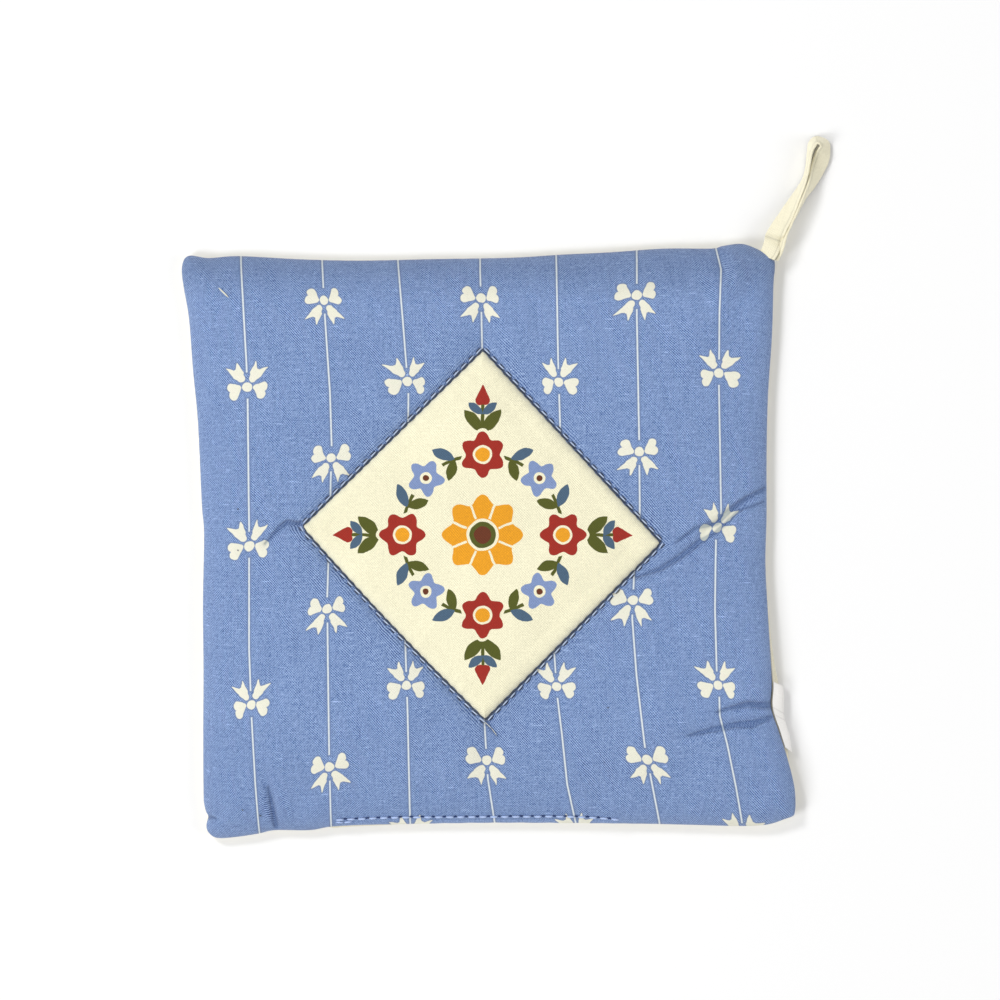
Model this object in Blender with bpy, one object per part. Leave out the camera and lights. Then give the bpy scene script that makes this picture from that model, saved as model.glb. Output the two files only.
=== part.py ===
"""A quilted pot holder: a blue padded front, a cream back, a diamond patch, a hanging loop and a blank label.

It lies face up on a flat surface at z = 0, with its origin under its middle, +Y towards its top edge.
Lengths below are in millimetres; the meshes are made in metres.
"""

import math

import bmesh
import bpy
import numpy as np
from mathutils import Vector
from mathutils.geometry import delaunay_2d_cdt

MM = 0.001

# Driving sizes.
HALF_SIDE = 99.0        # from the pad's middle to each straight seam
EDGE_STEP = 7.0         # longest step along the outline
CLEARANCE = 0.32        # between neighbouring pieces
BACK_CLOTH = 1.1        # thickness of the back panel
PATCH_CLOTH = 1.0       # thickness of the diamond patch
LABEL_CLOTH = 0.8       # thickness of the label
TAPE_WIDTH = 6.3        # width of the folded tape of the loop
TAPE_CLOTH = 1.2        # thickness of the folded tape

EDGE_ROLL = 5.5         # how far in from the seam the front cloth is still rolling over
EDGE_RISE = 3.0         # how high it rises in that roll
MIDDLE_SEAM = 3.6       # the seam's usual height, which the cloth further in keeps to
SEAM_REACH = 16.0       # how far in the seam's own rise and dip still show
CROWN = 2.2             # further rise towards the middle
CROWN_REACH = 26.0      # how far in the crown is two thirds made
PATCH_PUFF = 1.5        # extra rise inside the diamond
PUFF_REACH = 9.0

DITCH_LINE = 0.8        # the quilting runs this far outside the patch's edge
DITCH_DEPTH = 2.1       # narrow trough along the quilting
DITCH_WIDTH = 2.3
VALLEY_DEPTH = 1.0      # wide valley that the quilting pulls down
VALLEY_WIDTH = 9.0

GRID_STEP = 8.6         # spacing of the points on open cloth

# The outline, side by side, walked clockwise from the top left corner.
# Columns: along = mm past the side's middle in walking order, out = mm beyond HALF_SIDE.
OUTLINE = {
    "top": (
        (-104.6, 0.9), (-97.5, 0.1), (-87.0, 0.8), (-66.0, -0.3), (-45.0, -0.8), (-20.0, -0.3),
        (8.0, 0.2), (26.0, 1.3), (43.0, 2.1), (62.0, 3.4), (78.5, 3.4), (82.5, 4.3),
        (89.5, 5.0), (95.8, 2.6), (100.2, -0.1),
    ),
    "right": (
        (-95.5, 1.8), (-90.0, 1.3), (-72.0, 0.8), (-51.0, -0.6), (-30.0, -1.1), (-8.0, -1.1),
        (8.0, -1.5), (28.0, -0.5), (49.0, 0.6), (57.9, 0.3), (66.9, 3.2), (77.0, 6.4),
        (85.5, 8.5), (92.5, 9.0),
    ),
    "bottom": (
        (-106.2, -1.8), (-100.0, -0.1), (-88.0, 0.8), (-72.0, 0.4), (-48.0, -0.1), (-3.0, -0.4),
        (38.0, 0.3), (54.0, 1.0), (62.0, 2.3), (74.2, 2.3), (80.0, 3.5), (88.0, 4.7),
        (94.3, 4.6),
    ),
    "left": (
        (-97.6, -0.9), (-93.0, -0.1), (-68.0, 0.4), (-45.0, 0.3), (-22.0, 0.5), (2.0, 0.1),
        (13.0, 0.9), (41.0, 2.2), (60.0, 4.0), (78.0, 5.4), (89.0, 7.3), (96.0, 7.9),
    ),
}
SIDES = {"top": (0, 1), "right": (1, 0), "bottom": (0, -1), "left": (-1, 0)}

# Height of the side seam. Columns: degrees round the pad from +X, z.
SEAM_HEIGHT = (
    (-180, 3.4), (-135, 3.3), (-90, 3.4), (-50, 3.9), (-40, 4.7), (-32, 5.6), (-24, 5.2),
    (-12, 4.0), (0, 3.6), (35, 3.7), (45, 4.6), (55, 3.4), (90, 2.9), (135, 3.0), (180, 3.4),
)

# Where the back cloth bellies out past the front's right edge. Columns: y, mm proud.
BACK_BELLY = (
    (-88, 0.0), (-78, 0.6), (-72, 1.4), (-65, 3.2), (-57, 4.4), (-50, 3.6), (-44, 2.2),
    (-34, 1.0), (-20, 0.4), (0, 0.0),
)

# The back panel's outer side from its seam down to its flat sole.
# Columns: mm in from the outline, share of the seam's height, share of the belly.
BACK_SECTION = (
    (0.0, 1.00, 0.10),
    (0.1, 0.72, 0.75),
    (0.7, 0.38, 1.00),
    (2.2, 0.09, 0.60),
    (4.6, 0.00, 0.00),
)
# The same rings on its inner side. Columns: mm further in, mm higher.
BACK_INSIDE = ((1.15, 0.0), (1.15, 0.0), (1.10, 0.25), (0.75, 0.85), (0.35, BACK_CLOTH))
# The filled front's underside, inside those. Columns: mm further in, mm higher.
FRONT_UNDER = ((1.8, 0.0), (1.9, 0.15), (1.9, 0.8), (1.6, 1.35), (1.1, BACK_CLOTH + 0.4))

# Insets of the rings that round the front's edge, from the seam inwards.
EDGE_RINGS = (0.35, 1.3, 3.2)

# The diamond patch's corners. Columns: x, y, outward bow of the side that follows.
DIAMOND = (
    (-1.4, 66.5, 0.0),
    (60.6, -0.7, 0.0),
    (-0.7, -62.3, 0.9),
    (-64.4, 4.9, 0.0),
)
DIAMOND_STEPS = 13
# Rows of points that shape the ditch, as mm out from the patch's edge.
DITCH_ROWS = (-5.0, -1.6, 0.0, 0.8, 2.8, 7.0)

# Creases pressed into the front.
# Columns: depth at the start, depth at the end, half width, ridge beside it (+ left of the path), path.
CREASES = {
    "right_tuck": (3.0, 0.6, 2.3, 1.3, ((97, 17), (91, 14.2), (86, 10.6), (80.5, 7), (74.5, 1), (68, -4.9), (61, -9.2), (53, -12.3))),
    "lower_right": (2.9, 0.4, 2.4, 1.5, ((100, -57.8), (90, -58.8), (80, -61.3), (68, -66.9), (60, -69.4))),
    "left": (0.9, 0.8, 1.8, 0.4, ((-65, 5.8), (-69.7, 5.8), (-72.4, 2.6), (-77.5, -1.2))),
    "bottom_left": (0.4, 1.8, 2.4, 0.7, ((-77.5, -84), (-76.2, -91), (-73.5, -99))),
    "top_right": (1.8, 0.3, 2.2, 0.8, ((80.5, 102), (82, 97.5), (82.6, 93))),
    "left_ripple": (0.2, 0.7, 3.4, 0.5, ((-76, -33), (-74, -45), (-74.6, -57))),
    "top_right_bump": (0.3, 1.1, 3.0, 0.9, ((88, 84), (94, 92), (99, 95))),
}
CREASE_STEP = 6.0

# The loop's tape, from its upper end in the seam, round its eye and back to its lower end.
# Columns: lower edge's x, y, z, then upper edge's x and y. The upper edge's height follows from the width.
TAPE = (
    (96.2, 102.3, 4.6, 101.6, 99.9),
    (97.0, 105.0, 5.0, 102.9, 102.9),
    (97.6, 107.6, 4.8, 103.6, 105.4),
    (100.2, 111.6, 4.0, 105.0, 109.0),
    (102.9, 115.4, 3.1, 106.7, 112.3),
    (105.0, 118.4, 2.3, 108.0, 115.5),
    (107.2, 121.4, 1.6, 109.3, 119.2),
    (109.9, 125.2, 1.1, 111.0, 124.0),
    (111.4, 128.5, 0.9, 112.1, 128.0),
    (112.1, 132.0, 0.8, 112.8, 131.6),
    (112.5, 136.2, 0.8, 113.6, 135.6),
    (112.9, 139.2, 0.8, 114.7, 137.9),
    (114.6, 141.4, 0.8, 115.5, 139.0),
    (117.2, 141.4, 0.8, 116.2, 138.8),
    (119.7, 139.9, 0.8, 116.8, 137.9),
    (120.2, 136.6, 0.8, 116.2, 136.4),
    (119.6, 132.7, 0.8, 115.1, 133.8),
    (117.7, 128.8, 0.8, 114.0, 130.4),
    (114.9, 124.4, 0.8, 112.9, 125.6),
    (112.0, 120.7, 0.8, 111.0, 121.6),
    (110.1, 117.6, 0.8, 109.6, 118.0),
    (108.2, 113.9, 0.8, 108.0, 114.1),
    (106.0, 110.6, 0.8, 106.5, 110.9),
    (103.6, 107.4, 0.9, 105.0, 107.3),
    (101.4, 104.8, 1.5, 104.2, 104.2),
    (98.6, 102.6, 2.6, 103.4, 101.0),
    (97.2, 101.6, 3.0, 102.6, 98.8),
)
TAPE_STEPS = 2          # sections from one row to the next
# The tape's section. Columns: share of the width, share of the thickness.
TAPE_SECTION = (
    (0.00, -0.25), (0.08, -0.5), (0.92, -0.5), (1.00, -0.25),
    (1.00, 0.25), (0.92, 0.5), (0.08, 0.5), (0.00, 0.25),
)

# The label, hanging from the right seam over the back's belly.
LABEL_TOP = -48.9
LABEL_BOTTOM = -72.0
LABEL_STEPS = 10
LABEL_SLACK = 0.5       # it hangs this much looser than the clearance
# The places down BACK_SECTION that the label's rows lie against, counted in its rows.
LABEL_ROWS = (0.15, 0.6, 1.0, 1.5, 2.0, 2.4)


def clear_scene():
    """Remove every object that is already in the file."""
    for old in list(bpy.data.objects):
        bpy.data.objects.remove(old, do_unlink=True)


def material(name, colour, roughness):
    """A plain cloth material."""
    made = bpy.data.materials.new(name)
    made.use_nodes = True
    shader = made.node_tree.nodes["Principled BSDF"]
    shader.inputs["Base Color"].default_value = (*colour, 1.0)
    shader.inputs["Roughness"].default_value = roughness
    shader.inputs["Metallic"].default_value = 0.0
    return made


def add_object(name, points, faces, look):
    """One closed, smooth-shaded object from points in millimetres."""
    mesh = bpy.data.meshes.new(name)
    mesh.from_pydata([tuple(p * MM for p in point) for point in points], [], faces)
    shape = bmesh.new()
    shape.from_mesh(mesh)
    bmesh.ops.recalc_face_normals(shape, faces=shape.faces)
    shape.to_mesh(mesh)
    shape.free()
    mesh.shade_smooth()
    mesh.set_sharp_from_angle(angle=math.radians(50))
    mesh.materials.append(look)
    made = bpy.data.objects.new(name, mesh)
    bpy.context.scene.collection.objects.link(made)
    return made


def smooth_between(rows, steps, closed):
    """Catmull-Rom points through rows of numbers. steps is a count, or one count for each gap."""
    rows = np.array(rows, float)
    count = len(rows)
    gaps = count if closed else count - 1
    made = []
    for gap in range(gaps):
        around = [gap - 1, gap, gap + 1, gap + 2]
        if closed:
            around = [i % count for i in around]
        else:
            around = [min(max(i, 0), count - 1) for i in around]
        before, start, end, after = rows[around]
        parts = steps if isinstance(steps, int) else steps[gap]
        for part in range(parts):
            t = part / parts
            made.append(
                0.5
                * (
                    2 * start
                    + (end - before) * t
                    + (2 * before - 5 * start + 4 * end - after) * t**2
                    + (3 * start - before - 3 * end + after) * t**3
                )
            )
    if not closed:
        made.append(rows[-1])
    return np.array(made)


def pad_outline():
    """The seam line seen from above, clockwise, as x and y."""
    corners = []
    for side, rows in OUTLINE.items():
        out_x, out_y = SIDES[side]
        for along, out in rows:
            reach = HALF_SIDE + out
            corners.append((out_x * reach + out_y * along, out_y * reach - out_x * along))
    lengths = [math.dist(a, b) for a, b in zip(corners, corners[1:] + corners[:1])]
    steps = [max(2, round(length / EDGE_STEP)) for length in lengths]
    return smooth_between(corners, steps, closed=True)


def from_table(rows, at):
    """Straight-line reading of a two-column table."""
    return np.interp(at, [row[0] for row in rows], [row[1] for row in rows])


def seam_height(xy):
    """The seam's height beside each point."""
    return from_table(SEAM_HEIGHT, np.degrees(np.arctan2(xy[:, 1], xy[:, 0])))


def belly(xy):
    """How far the back stands proud beside each point."""
    return np.where(xy[:, 0] > 0, from_table(BACK_BELLY, xy[:, 1]), 0.0)


def pushed_out(xy, out):
    """Points moved away from the pad's middle along their own rays."""
    reach = np.linalg.norm(xy, axis=1, keepdims=True)
    return xy * (1 + np.reshape(out, (-1, 1)) / reach)


def beside(xy, path, closed=False):
    """Distance to a path, positive on its left, and how far along it the nearest point is, 0 to 1."""
    path = np.array(path, float)
    ends = np.roll(path, -1, axis=0) if closed else path[1:]
    starts = path if closed else path[:-1]
    run = ends - starts
    length = np.linalg.norm(run, axis=1)
    before = np.concatenate([[0], np.cumsum(length)[:-1]])
    away = xy[:, None, :] - starts[None, :, :]
    share = np.clip((away * run).sum(2) / length**2, 0, 1)
    gap = away - share[:, :, None] * run
    distance = np.linalg.norm(gap, axis=2)
    best = distance.argmin(1)
    pick = np.arange(len(xy))
    left = run[best, 0] * away[pick, best, 1] - run[best, 1] * away[pick, best, 0]
    along = (before[best] + share[pick, best] * length[best]) / length.sum()
    return distance[pick, best] * np.where(left >= 0, 1, -1), along


def out_of_diamond(xy):
    """Distance outside the patch's edge, negative inside: the largest of the four sides' distances."""
    sides = []
    for (ax, ay, bow), (bx, by, _) in zip(DIAMOND, DIAMOND[1:] + DIAMOND[:1]):
        length = math.dist((ax, ay), (bx, by))
        along = ((xy[:, 0] - ax) * (bx - ax) + (xy[:, 1] - ay) * (by - ay)) / length**2
        out = ((xy[:, 1] - ay) * (bx - ax) - (xy[:, 0] - ax) * (by - ay)) / length
        sides.append(out - bow * np.sin(np.pi * np.clip(along, 0, 1)))
    return np.max(sides, axis=0)


def diamond_path(out):
    """The patch's edge, clockwise, moved out by a distance."""
    middle = np.mean([row[:2] for row in DIAMOND], axis=0)
    inner = -out_of_diamond(middle[None, :])[0]
    points = []
    for (ax, ay, bow), (bx, by, _) in zip(DIAMOND, DIAMOND[1:] + DIAMOND[:1]):
        start = np.array((ax, ay))
        run = np.array((bx, by)) - start
        normal = np.array((-run[1], run[0])) / np.linalg.norm(run)
        for step in range(DIAMOND_STEPS):
            t = step / DIAMOND_STEPS
            points.append(start + run * t + normal * bow * math.sin(math.pi * t))
    return middle + (np.array(points) - middle) * (1 + out / inner)


def front_height(xy, outline):
    """The front's top surface.

    It starts at the seam, rolls over a quarter ellipse, and rises on as an exponential crown. The ditch and
    its valley are bell curves across the distance to the quilting, and so are the creases. A crease's ridge is
    a wider bell beside its trough.
    """
    inside = np.abs(beside(xy, outline, closed=True)[0])
    roll = 1 - np.clip(inside / EDGE_ROLL, 0, 1)
    height = MIDDLE_SEAM + (seam_height(xy) - MIDDLE_SEAM) * np.exp(-((inside / SEAM_REACH) ** 2))
    height = height + CLEARANCE / 2
    height = height + EDGE_RISE * np.sqrt(1 - roll**2) + CROWN * (1 - np.exp(-inside / CROWN_REACH))
    out = out_of_diamond(xy)
    height = height + PATCH_PUFF * (1 - np.exp(-np.clip(-out, 0, None) / PUFF_REACH))
    height = height - DITCH_DEPTH * np.exp(-(((out - DITCH_LINE) / DITCH_WIDTH) ** 2))
    height = height - VALLEY_DEPTH * np.exp(-(((out - DITCH_LINE) / VALLEY_WIDTH) ** 2))
    settled = np.clip(inside / EDGE_ROLL, 0, 1)
    for start, end, width, ridge, path in CREASES.values():
        off, along = beside(xy, path)
        depth = start + (end - start) * along
        trough = depth * np.exp(-((off / width) ** 2))
        rise = ridge * depth / max(start, end) * np.exp(-(((off - 2.2 * width) / (1.4 * width)) ** 2))
        height = height + settled * (rise - trough)
    return height


def open_cloth_points(edge, features):
    """A staggered grid of points inside the rounded edge, clear of the rows that shape folds."""
    rows = np.arange(-HALF_SIDE, HALF_SIDE + GRID_STEP, GRID_STEP * math.sqrt(3) / 2)
    points = []
    for number, y in enumerate(rows):
        shift = GRID_STEP / 2 * (number % 2)
        points += [(x + shift, y) for x in np.arange(-HALF_SIDE - 8, HALF_SIDE + 12, GRID_STEP)]
    points = np.array(points)
    signed, _ = beside(points, edge, closed=True)
    points = points[signed < -0.5 * GRID_STEP]
    gaps = np.linalg.norm(points[:, None, :] - features[None, :, :], axis=2).min(1)
    return points[gaps > 0.52 * GRID_STEP]


def crease_points(edge):
    """Rows of points along each crease, on its floor, its shoulders and its ridge."""
    points = []
    for _, _, width, _, path in CREASES.values():
        length = sum(math.dist(a, b) for a, b in zip(path, path[1:]))
        line = smooth_between(path, max(1, round(length / CREASE_STEP / (len(path) - 1))), closed=False)
        run = np.gradient(line, axis=0)
        normal = np.stack([-run[:, 1], run[:, 0]], 1) / np.linalg.norm(run, axis=1, keepdims=True)
        points += [line + normal * width * off for off in (-1.3, 0.0, 1.1, 2.3)]
    points = np.concatenate(points)
    signed, _ = beside(points, edge, closed=True)
    points = points[signed < -1.5]
    clear_of_ditch = np.abs(out_of_diamond(points) - DITCH_LINE) > 2.2
    return points[clear_of_ditch]


def thinned(points, gap):
    """The points, leaving out each one that is too near an earlier one."""
    kept = []
    for point in points:
        if all(math.dist(point, other) > gap for other in kept):
            kept.append(tuple(point))
    return np.array(kept)


def ring_faces(count, first, second, flip=False):
    """Quads between two rings of points, given the index at which each ring starts."""
    faces = []
    for i in range(count):
        j = (i + 1) % count
        face = (first + i, first + j, second + j, second + i)
        faces.append(face[::-1] if flip else face)
    return faces


def back_rings(outline, extra):
    """Rings of the back's section, each further in and higher by the rows of extra."""
    rings = []
    for (inset, share, belly_share), (further, higher) in zip(BACK_SECTION, extra):
        flat = pushed_out(outline, belly(outline) * belly_share - inset - further)
        height = seam_height(outline) * share + higher
        rings.append(np.column_stack([flat, height]))
    return rings


def front_surface(outline):
    """Triangulated top inside the last edge ring: flat points, triangles, and that ring's places in them."""
    edge = pushed_out(outline, -EDGE_RINGS[-1])
    ditch = [diamond_path(out) for out in DITCH_ROWS]
    extra = thinned(crease_points(edge), 1.7)
    fixed = np.concatenate([edge, *ditch])
    near_ditch = np.linalg.norm(extra[:, None, :] - fixed[None, :, :], axis=2).min(1)
    fixed = np.concatenate([fixed, extra[near_ditch > 1.5]])
    points = np.concatenate([fixed, open_cloth_points(edge, fixed)])
    count, corner_count = len(edge), 4 * DIAMOND_STEPS
    lines = [(i, (i + 1) % count) for i in range(count)]
    for row in range(len(DITCH_ROWS)):
        first = count + row * corner_count
        lines += [(first + i, first + (i + 1) % corner_count) for i in range(corner_count)]
    flat, _, triangles, origin, _, _ = delaunay_2d_cdt(
        [Vector(p) for p in points], lines, [], 1, 1e-6
    )
    flat = np.array([tuple(p) for p in flat])
    place = {source: index for index, sources in enumerate(origin) for source in sources}
    return flat, triangles, [place[i] for i in range(count)]


def build_front(outline, flat, triangles, edge_places, look):
    """The filled front: rounded edge, quilted top, and a flat underside that sits in the back panel."""
    count = len(outline)
    rim = np.column_stack([outline, seam_height(outline) + CLEARANCE / 2])
    points = [rim]
    for inset in EDGE_RINGS[:-1]:
        ring = pushed_out(outline, -inset)
        points.append(np.column_stack([ring, front_height(ring, outline)]))
    under = back_rings(outline, FRONT_UNDER)
    under[0][:, 2] = rim[:, 2]
    points += under
    faces = []
    for ring in range(len(EDGE_RINGS) - 1):
        faces += ring_faces(count, ring * count, (ring + 1) * count)
    first_under = len(EDGE_RINGS) * count
    faces += ring_faces(count, 0, first_under, flip=True)
    for ring in range(len(under) - 1):
        faces += ring_faces(count, first_under + ring * count, first_under + (ring + 1) * count, flip=True)
    last = first_under + (len(under) - 1) * count
    faces.append(tuple(last + i for i in range(count)))
    top = len(points) * count
    points.append(np.column_stack([flat, front_height(flat, outline)]))
    inner = (len(EDGE_RINGS) - 1) * count
    for i in range(count):
        j = (i + 1) % count
        faces.append((inner + i, inner + j, top + edge_places[j], top + edge_places[i]))
    faces += [tuple(top + corner for corner in triangle) for triangle in triangles]
    return add_object("front_panel", np.concatenate(points), faces, look)


def build_patch(outline, flat, triangles, look):
    """The diamond patch: the front's own surface inside the diamond, lifted clear, with a cloth's thickness."""
    middles = np.array([flat[list(triangle)].mean(0) for triangle in triangles])
    inside = out_of_diamond(middles) < 0
    chosen = [triangle for triangle, keep in zip(triangles, inside) if keep]
    used = sorted({corner for triangle in chosen for corner in triangle})
    place = {corner: index for index, corner in enumerate(used)}
    ground = front_height(flat[used], outline)
    low = np.column_stack([flat[used], ground + CLEARANCE])
    high = np.column_stack([flat[used], ground + CLEARANCE + PATCH_CLOTH])
    count = len(used)
    edges = set()
    for triangle in chosen:
        edges |= {(place[a], place[b]) for a, b in zip(triangle, triangle[1:] + triangle[:1])}
    rim = [edge for edge in edges if edge[::-1] not in edges]
    rim.sort()
    faces = [tuple(place[corner] for corner in triangle)[::-1] for triangle in chosen]
    faces += [tuple(count + place[corner] for corner in triangle) for triangle in chosen]
    faces += [(a, b, count + b, count + a) for a, b in rim]
    return add_object("diamond_patch", np.concatenate([low, high]), faces, look)


def build_back(outline, look):
    """The back panel: flat sole, curled up to the seam, bellied out on the lower right."""
    count = len(outline)
    outer = back_rings(outline, ((0.0, 0.0),) * len(BACK_SECTION))
    inner = back_rings(outline, BACK_INSIDE)
    for rings in (outer, inner):
        rings[0][:, 2] -= CLEARANCE / 2
    rings = outer[::-1] + inner
    faces = []
    for ring in range(len(rings) - 1):
        faces += ring_faces(count, ring * count, (ring + 1) * count)
    faces.append(tuple(range(count)))
    last = (len(rings) - 1) * count
    faces.append(tuple(last + i for i in reversed(range(count))))
    return add_object("back_panel", np.concatenate(rings), faces, look)


def build_loop(look):
    """The hanging loop: a flat section swept along the tape's two edges."""
    rows = smooth_between(TAPE, TAPE_STEPS, closed=False)
    low = rows[:, :3]
    across = rows[:, 3:5] - rows[:, :2]
    rise = np.sqrt(np.clip(TAPE_WIDTH**2 - (across**2).sum(1), 0.0, None))
    width = np.column_stack([across, rise])
    run = np.gradient(low + width / 2, axis=0)
    normal = np.cross(run, width)
    normal /= np.linalg.norm(normal, axis=1, keepdims=True)
    rings = [
        low[i] + np.outer([u for u, _ in TAPE_SECTION], width[i])
        + np.outer([v for _, v in TAPE_SECTION], normal[i] * TAPE_CLOTH)
        for i in range(len(rows))
    ]
    size = len(TAPE_SECTION)
    faces = []
    for ring in range(len(rings) - 1):
        faces += ring_faces(size, ring * size, (ring + 1) * size)
    faces.append(tuple(reversed(range(size))))
    faces.append(tuple((len(rings) - 1) * size + i for i in range(size)))
    return add_object("hanging_loop", np.concatenate(rings), faces, look)


def build_label(outline, look):
    """The blank label: a strip that hangs from the right seam against the back's belly."""
    right = outline[(outline[:, 0] > 80) & (outline[:, 1] > -95) & (outline[:, 1] < 90)]
    right = right[np.argsort(right[:, 1])]
    across = np.linspace(LABEL_TOP, LABEL_BOTTOM, LABEL_STEPS + 1)
    seam = np.column_stack([np.interp(across, right[:, 1], right[:, 0]), across])
    section = np.array(BACK_SECTION)
    lift = CLEARANCE + LABEL_SLACK
    sheets = []
    for off in (lift, lift + LABEL_CLOTH):
        for row in LABEL_ROWS:
            inset, share, belly_share = [np.interp(row, range(len(section)), section[:, k]) for k in range(3)]
            flat = pushed_out(seam, belly(seam) * belly_share - inset + off)
            sheets.append(np.column_stack([flat, seam_height(seam) * share - 0.3]))
    rows, steps = len(LABEL_ROWS), LABEL_STEPS + 1
    faces = []
    for sheet, flip in ((0, True), (rows, False)):
        for row in range(rows - 1):
            for step in range(steps - 1):
                a = (sheet + row) * steps + step
                face = (a, a + 1, a + steps + 1, a + steps)
                faces.append(face[::-1] if flip else face)
    rim = list(range(steps))
    rim += [row * steps + steps - 1 for row in range(1, rows)]
    rim += [(rows - 1) * steps + step for step in range(steps - 2, -1, -1)]
    rim += [row * steps for row in range(rows - 2, 0, -1)]
    back = rows * steps
    for a, b in zip(rim, rim[1:] + rim[:1]):
        faces.append((a, b, back + b, back + a))
    return add_object("label", np.concatenate(sheets), faces, look)


def main():
    """Build the pot holder."""
    clear_scene()
    cream = (0.88, 0.84, 0.66)
    outline = pad_outline()
    flat, triangles, edge_places = front_surface(outline)
    build_front(outline, flat, triangles, edge_places, material("blue_cotton", (0.23, 0.33, 0.60), 0.9))
    build_patch(outline, flat, triangles, material("patch_cotton", cream, 0.9))
    build_back(outline, material("back_cotton", (0.86, 0.82, 0.67), 0.9))
    build_loop(material("loop_tape", (0.86, 0.82, 0.62), 0.9))
    build_label(outline, material("label_ribbon", (0.86, 0.84, 0.80), 0.6))


main()
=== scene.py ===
"""The cloth, print and stitching of a quilted pot holder, as an add-on that is run as a script.

Lengths are in millimetres until a mesh is made; meshes are in metres. The pad lies face up on z = 0.
"""

import math

import bpy
import numpy as np
from bpy.props import FloatProperty, FloatVectorProperty, IntProperty, PointerProperty
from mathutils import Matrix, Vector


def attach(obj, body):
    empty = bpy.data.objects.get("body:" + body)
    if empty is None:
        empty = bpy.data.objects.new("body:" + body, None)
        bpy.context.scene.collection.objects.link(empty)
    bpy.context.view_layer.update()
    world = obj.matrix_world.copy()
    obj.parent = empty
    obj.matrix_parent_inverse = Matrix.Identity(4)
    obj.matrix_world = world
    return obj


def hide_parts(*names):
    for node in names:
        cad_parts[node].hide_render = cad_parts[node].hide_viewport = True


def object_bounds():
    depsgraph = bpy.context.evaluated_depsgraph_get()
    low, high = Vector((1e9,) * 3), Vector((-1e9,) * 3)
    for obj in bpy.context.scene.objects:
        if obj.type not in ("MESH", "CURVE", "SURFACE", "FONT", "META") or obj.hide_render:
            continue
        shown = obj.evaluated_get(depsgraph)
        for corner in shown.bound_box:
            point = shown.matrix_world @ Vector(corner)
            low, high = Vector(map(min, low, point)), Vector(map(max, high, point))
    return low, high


bl_info = {
    "name": "Quilted Pot Holder",
    "version": (1, 0, 0),
    "blender": (4, 5, 0),
    "location": "View3D > Sidebar > Pot Holder",
    "description": "Builds a quilted pot holder's cloth, print and stitching on its solid model",
    "category": "Object",
}

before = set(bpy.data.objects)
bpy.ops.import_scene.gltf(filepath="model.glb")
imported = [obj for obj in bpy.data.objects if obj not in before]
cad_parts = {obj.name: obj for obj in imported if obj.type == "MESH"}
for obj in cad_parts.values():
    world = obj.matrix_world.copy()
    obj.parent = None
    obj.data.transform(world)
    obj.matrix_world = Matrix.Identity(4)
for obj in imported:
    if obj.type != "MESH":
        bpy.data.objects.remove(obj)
CAD_BOX = [list(corner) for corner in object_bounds()]
MM = 0.001
ROOT = "root"

# ---------------------------------------------------------------------------------------------------------
# The pad's own shape. Its seam line is nearly the solids' own; its edge and its crown are a little fuller.

HALF_SIDE = 99.0  # from the pad's middle to each straight seam
SEAM_GAP = 0.16  # half of the gap between the front and the back along the seam
EDGE_ROLL = 8.0  # how far in from the seam the front is still rolling over
EDGE_RISE = 3.0  # how high it rises in that roll
EDGE_INSET = 3.0  # how far in from the seam the front's square grid ends
MIDDLE_SEAM = 3.6  # the seam's usual height, which the cloth further in keeps to
SEAM_REACH = 16.0  # how far in the seam's own rise and dip still show
CROWN = 3.4  # further rise towards the middle
CROWN_REACH = 15.0  # how far in the crown is two thirds made
PATCH_PUFF = 1.3  # extra rise inside the diamond
PUFF_REACH = 12.0
DITCH_LINE = 0.8  # the quilting runs this far outside the patch's edge
DITCH_DEPTH = 1.5  # narrow trough along the quilting
DITCH_WIDTH = 1.9
VALLEY_DEPTH = 0.9  # wide valley that the quilting pulls down
VALLEY_WIDTH = 9.0

# Fine unevenness of the front, each with the seed of its random starts.
# Puckers along the seam and along the quilting. Columns: height, reach, wave lengths, seed.
SEAM_PUCKERS = (0.22, 6.0, (6.1, 9.7, 15.3, 24.0), 3)
QUILT_PUCKERS = (0.22, 4.5, (4.3, 6.9, 11.0), 5)
# A slight swell all over: height, size, seed.
SWELL = (0.16, 24.0, 8)

# What is kept of the cloth simulation: the share of its puckers, of its broad swell, and the most rise.
PUCKER_SHARE = 0.55
BROAD_SHARE = 0.12
MOST_RISE = 1.0

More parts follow.
